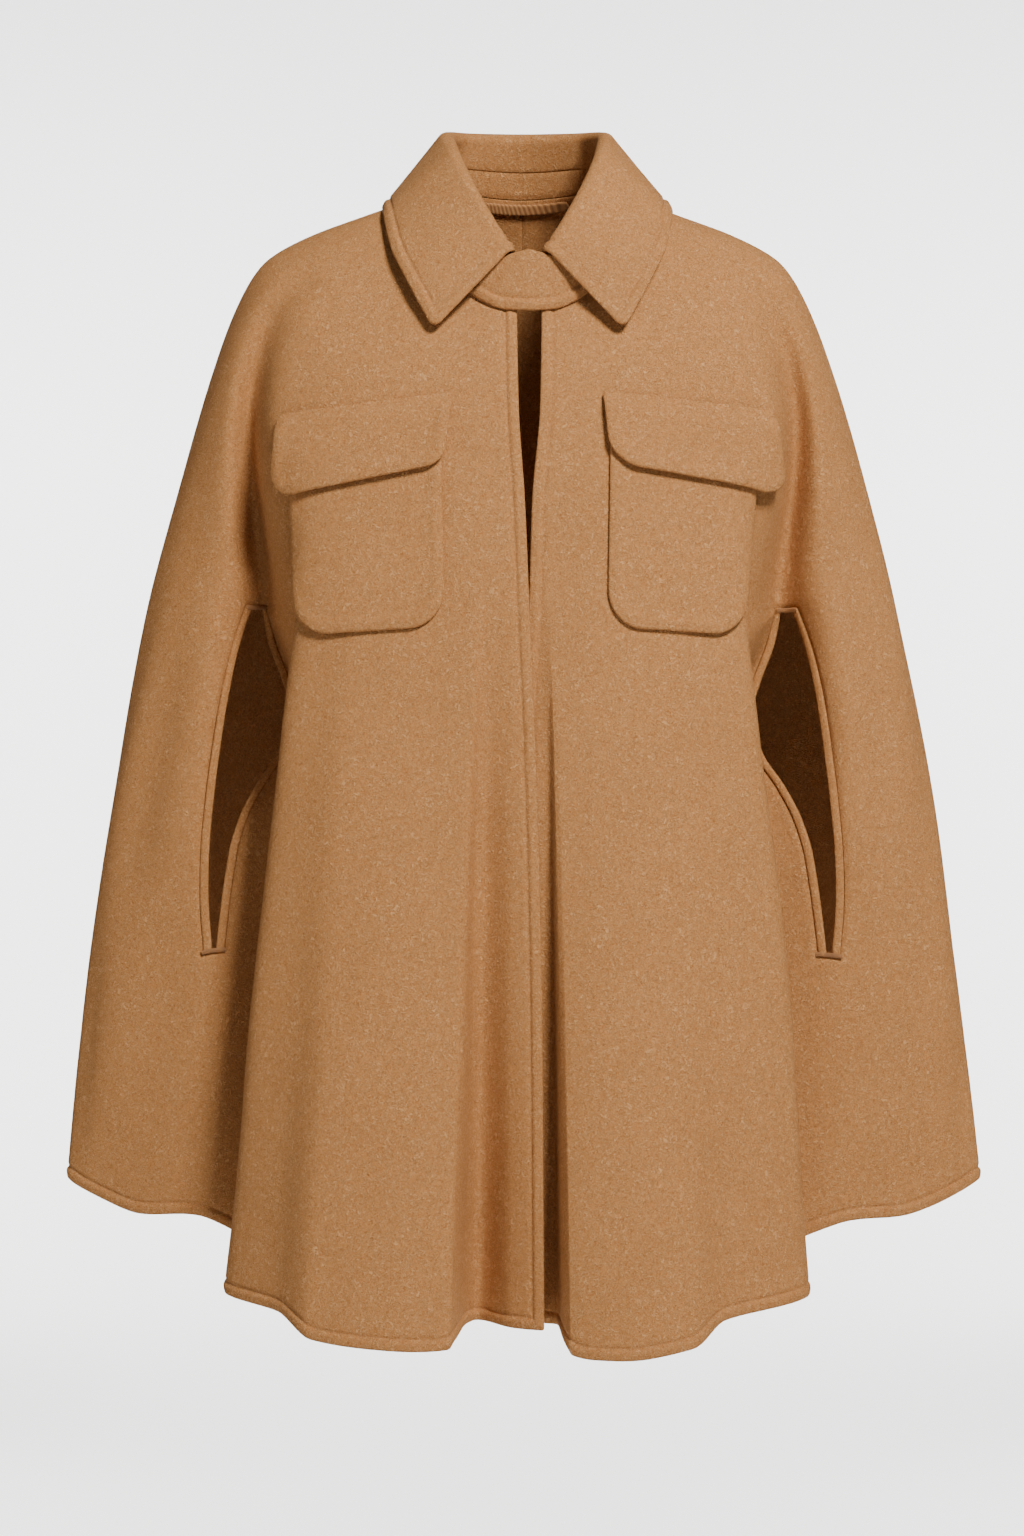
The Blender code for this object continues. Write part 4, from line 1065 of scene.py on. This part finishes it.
def make_collar():
    """Raise the stand from the neck seam, roll the leaf over it and lay it down to its points."""
    start = COLLAR[0][0]
    last = CENTRE_BACK - COLLAR_END
    half = np.concatenate([start + (last - start) * np.array(COLLAR_NEAR),
                           np.linspace(start + (last - start) * COLLAR_FAR, last, COLLAR_COLUMNS_BEHIND)])
    angles = np.concatenate([-half, half[::-1]])
    base, roll, edge = (collar_point(angles, which) for which in ("base", "roll", "edge"))
    along = unit(collar_point(angles + ALONG_STEP, "roll") - collar_point(angles - ALONG_STEP, "roll"))
    to_edge, to_base = edge - roll, base - roll
    to_edge = unit(to_edge - along * dot(to_edge, along))
    to_base = unit(to_base - along * dot(to_base, along))
    up = -unit(to_edge + to_base)
    out = unit(to_edge - to_base)
    centre = roll - up * ROLL_RADIUS
    inner = centre - out * ROLL_RADIUS
    outer = centre + out * ROLL_RADIUS
    seam = base + (inner - base) * STAND_SHARE
    stand = np.stack([base + (seam - base) * share for share in np.linspace(0.0, 1.0, STAND_ROWS)], axis=1)
    inner_shares = np.linspace(STAND_SHARE + STAND_SEAM, 1.0, LEAF_INNER_ROWS)[:-1]
    leaf = [base + (inner - base) * share for share in inner_shares]
    for turn in np.linspace(math.pi, 0.0, ROLL_ROWS):
        leaf.append(centre + (out * math.cos(turn) + up * math.sin(turn)) * ROLL_RADIUS)
    reach = np.linalg.norm(edge - outer, axis=-1, keepdims=True)
    for share in LEAF_OUTER_SHARES:
        leaf.append(outer + (edge - outer) * share * (1.0 - EDGE_STEPS[-1] / reach))
    for step in EDGE_STEPS[::-1]:
        leaf.append(outer + (edge - outer) * (1.0 - step / reach))
    leaf = np.stack(leaf, axis=1)
    (stand_piece, _), _ = middle_shell("cloth_collar_stand", stand, WOOL,
                                       pressed_seam(distance_to(stand, [stand[:, -1], stand[:, 0]])))
    dress(stand_piece, "collar_stand")
    for row_end in (0, 1):
        leaf = round_corner(leaf, row_end, 1, LEAF_CORNER)
    away = distance_to(leaf, [leaf[:, -1], leaf[0], leaf[-1]])
    (leaf_piece, leaf_outer), normals = middle_shell("cloth_collar_leaf", leaf, WOOL, turned_edge(away))
    dress(leaf_piece, "collar_leaf")
    sew("stitches_collar", stitch_lines(leaf_outer, normals, away))


make_collar()


def make_tab():
    reach = TAB[-1][0]
    across = np.linspace(-reach, reach, TAB_ROWS)
    top = column(TAB_COLUMNS, TAB, "top_z", np.abs(across))
    foot = column(TAB_COLUMNS, TAB, "foot_z", np.abs(across))
    front = column(TAB_COLUMNS, TAB, "front_y", np.abs(across))
    height = (top - foot).max()
    points = np.stack([np.stack([COLLAR_SHIFT + across, front, top + (foot - top) * share], axis=-1)
                       for share in edge_shares(height)], axis=1)
    away = distance_to(points, [points[:, -1]])
    (tab, outer), normals = middle_shell("cloth_throat_tab", points, WOOL, turned_edge(away))
    dress(tab, "throat_tab")
    sew("stitches_throat_tab", stitch_lines(outer, normals, away))


make_tab()


def make_loop():
    across = np.linspace(-LOOP_SPAN / 2, LOOP_SPAN / 2, LOOP_ROWS)
    angle = CENTRE_BACK - np.degrees(np.arcsin(np.abs(across) / SECTIONS[0][1]))
    lines = []
    for level in np.linspace(LOOP_LEVEL, LOOP_LEVEL + LOOP_HEIGHT, LOOP_LINES):
        both = {name: cloth(name, angle, np.full(angle.shape, level)) for name in SIDES}
        left = (across > 0)[:, None]
        point = np.where(left, both["left"][0], both["right"][0])
        normal = np.where(left, both["left"][1], both["right"][1])
        lines.append(point - normal * (CLOTH + LAP_GAP + LOOP_THICK / 2))
    points = np.stack(lines, axis=1)
    (loop, _), _ = middle_shell("tape_hanger_loop", points, TAPE, np.zeros(points.shape[:2]), LOOP_THICK)
    dress(loop, "hanger_loop")


make_loop()


FLOOR_LEVEL = -1.60
FLOOR_SIZE = (18.0, 15.0)
BACKDROP_HEIGHT = 6.0
SWEEP_RADIUS = 2.0
SWEEP_STEPS = 16


def far_edge(mesh, edge, highest):
    """Say whether an edge lies at the far end of the floor, and below a height."""
    ends = [mesh.vertices[i].co for i in edge.vertices]
    return all(end.y > 0.0 and end.z < highest for end in ends)


def make_sweep():
    """Lay a pale floor that curves up into a backdrop."""
    bpy.ops.mesh.primitive_plane_add(size=1.0, location=(0.0, 0.0, FLOOR_LEVEL))
    sweep = bpy.context.object
    sweep.name = "floor"
    sweep.scale = (*FLOOR_SIZE, 1.0)
    bpy.ops.object.transform_apply(location=True, rotation=True, scale=True)
    select_parts(sweep.data.edges, "EDGE", lambda edge: far_edge(sweep.data, edge, BACKDROP_HEIGHT))
    bpy.ops.mesh.extrude_region_move(TRANSFORM_OT_translate={"value": (0.0, 0.0, BACKDROP_HEIGHT)})
    bpy.ops.object.mode_set(mode="OBJECT")
    select_parts(sweep.data.edges, "EDGE", lambda edge: far_edge(sweep.data, edge, 0.0))
    bpy.ops.mesh.bevel(offset=SWEEP_RADIUS, segments=SWEEP_STEPS, profile=0.5)
    bpy.ops.object.mode_set(mode="OBJECT")
    bpy.ops.object.shade_smooth()
    sweep.data.materials.append(painted_sweep("matt_white_sweep", "#FFFFFF"))


make_sweep()

LIGHT_COLUMNS = ("name", "place", "size", "power", "colour", "target")
LIGHTS = (
    ("key", (1.15, -2.55, 1.9), (0.8, 0.8), 188.0, "#FFF9F2", (0.0, 0.0, -0.4)),
    ("left_fill", (-3.0, -1.0, 0.1), (1.2, 1.8), 15.0, "#FFFAF4", (0.0, 0.0, -0.4)),
    ("floor_left", (-1.8, 2.2, 0.3), (1.4, 1.4), 150.0, "#FFFFFF", (-0.306, 4.5, -0.9)),
    ("floor_right", (1.8, 2.2, 0.3), (1.4, 1.4), 150.0, "#FFFFFF", (0.306, 4.5, -0.9)),
    ("backdrop_left", (-2.3, 5.0, 0.4), (1.4, 1.4), 170.0, "#FFFFFF", (-0.391, 7.5, 0.1)),
    ("backdrop_right", (2.3, 5.0, 0.4), (1.4, 1.4), 170.0, "#FFFFFF", (0.391, 7.5, 0.1)),
)
AIR_COLOUR = "#F4F6F8"
AIR_STRENGTH = 0.05
CAMERA_PLACE = (-0.0085, -3.13, -0.429)
CAMERA_LENS = 90.15
CAMERA_SENSOR = 36.0


def soft_light(light):
    bpy.ops.object.light_add(type="AREA", location=light["place"])
    lamp = bpy.context.object
    lamp.name = light["name"]
    lamp.data.shape = "RECTANGLE"
    lamp.data.size, lamp.data.size_y = light["size"]
    lamp.data.energy = light["power"]
    lamp.data.color = linear(light["colour"])[:3]
    aim = Vector(light["target"]) - Vector(light["place"])
    lamp.rotation_euler = aim.to_track_quat("-Z", "Y").to_euler()


for row in LIGHTS:
    soft_light(dict(zip(LIGHT_COLUMNS, row)))

world = bpy.data.worlds.new("studio_air")
world.use_nodes = True
air = world.node_tree.nodes["Background"]
air.inputs["Color"].default_value = linear(AIR_COLOUR)
air.inputs["Strength"].default_value = AIR_STRENGTH
bpy.context.scene.world = world

camera_data = bpy.data.cameras.new("camera")
camera_data.lens = CAMERA_LENS
camera_data.sensor_fit = "VERTICAL"
camera_data.sensor_height = CAMERA_SENSOR
camera = bpy.data.objects.new("camera", camera_data)
camera.location = CAMERA_PLACE
camera.rotation_euler = (math.pi / 2, 0.0, 0.0)
bpy.context.scene.collection.objects.link(camera)
bpy.context.scene.camera = camera
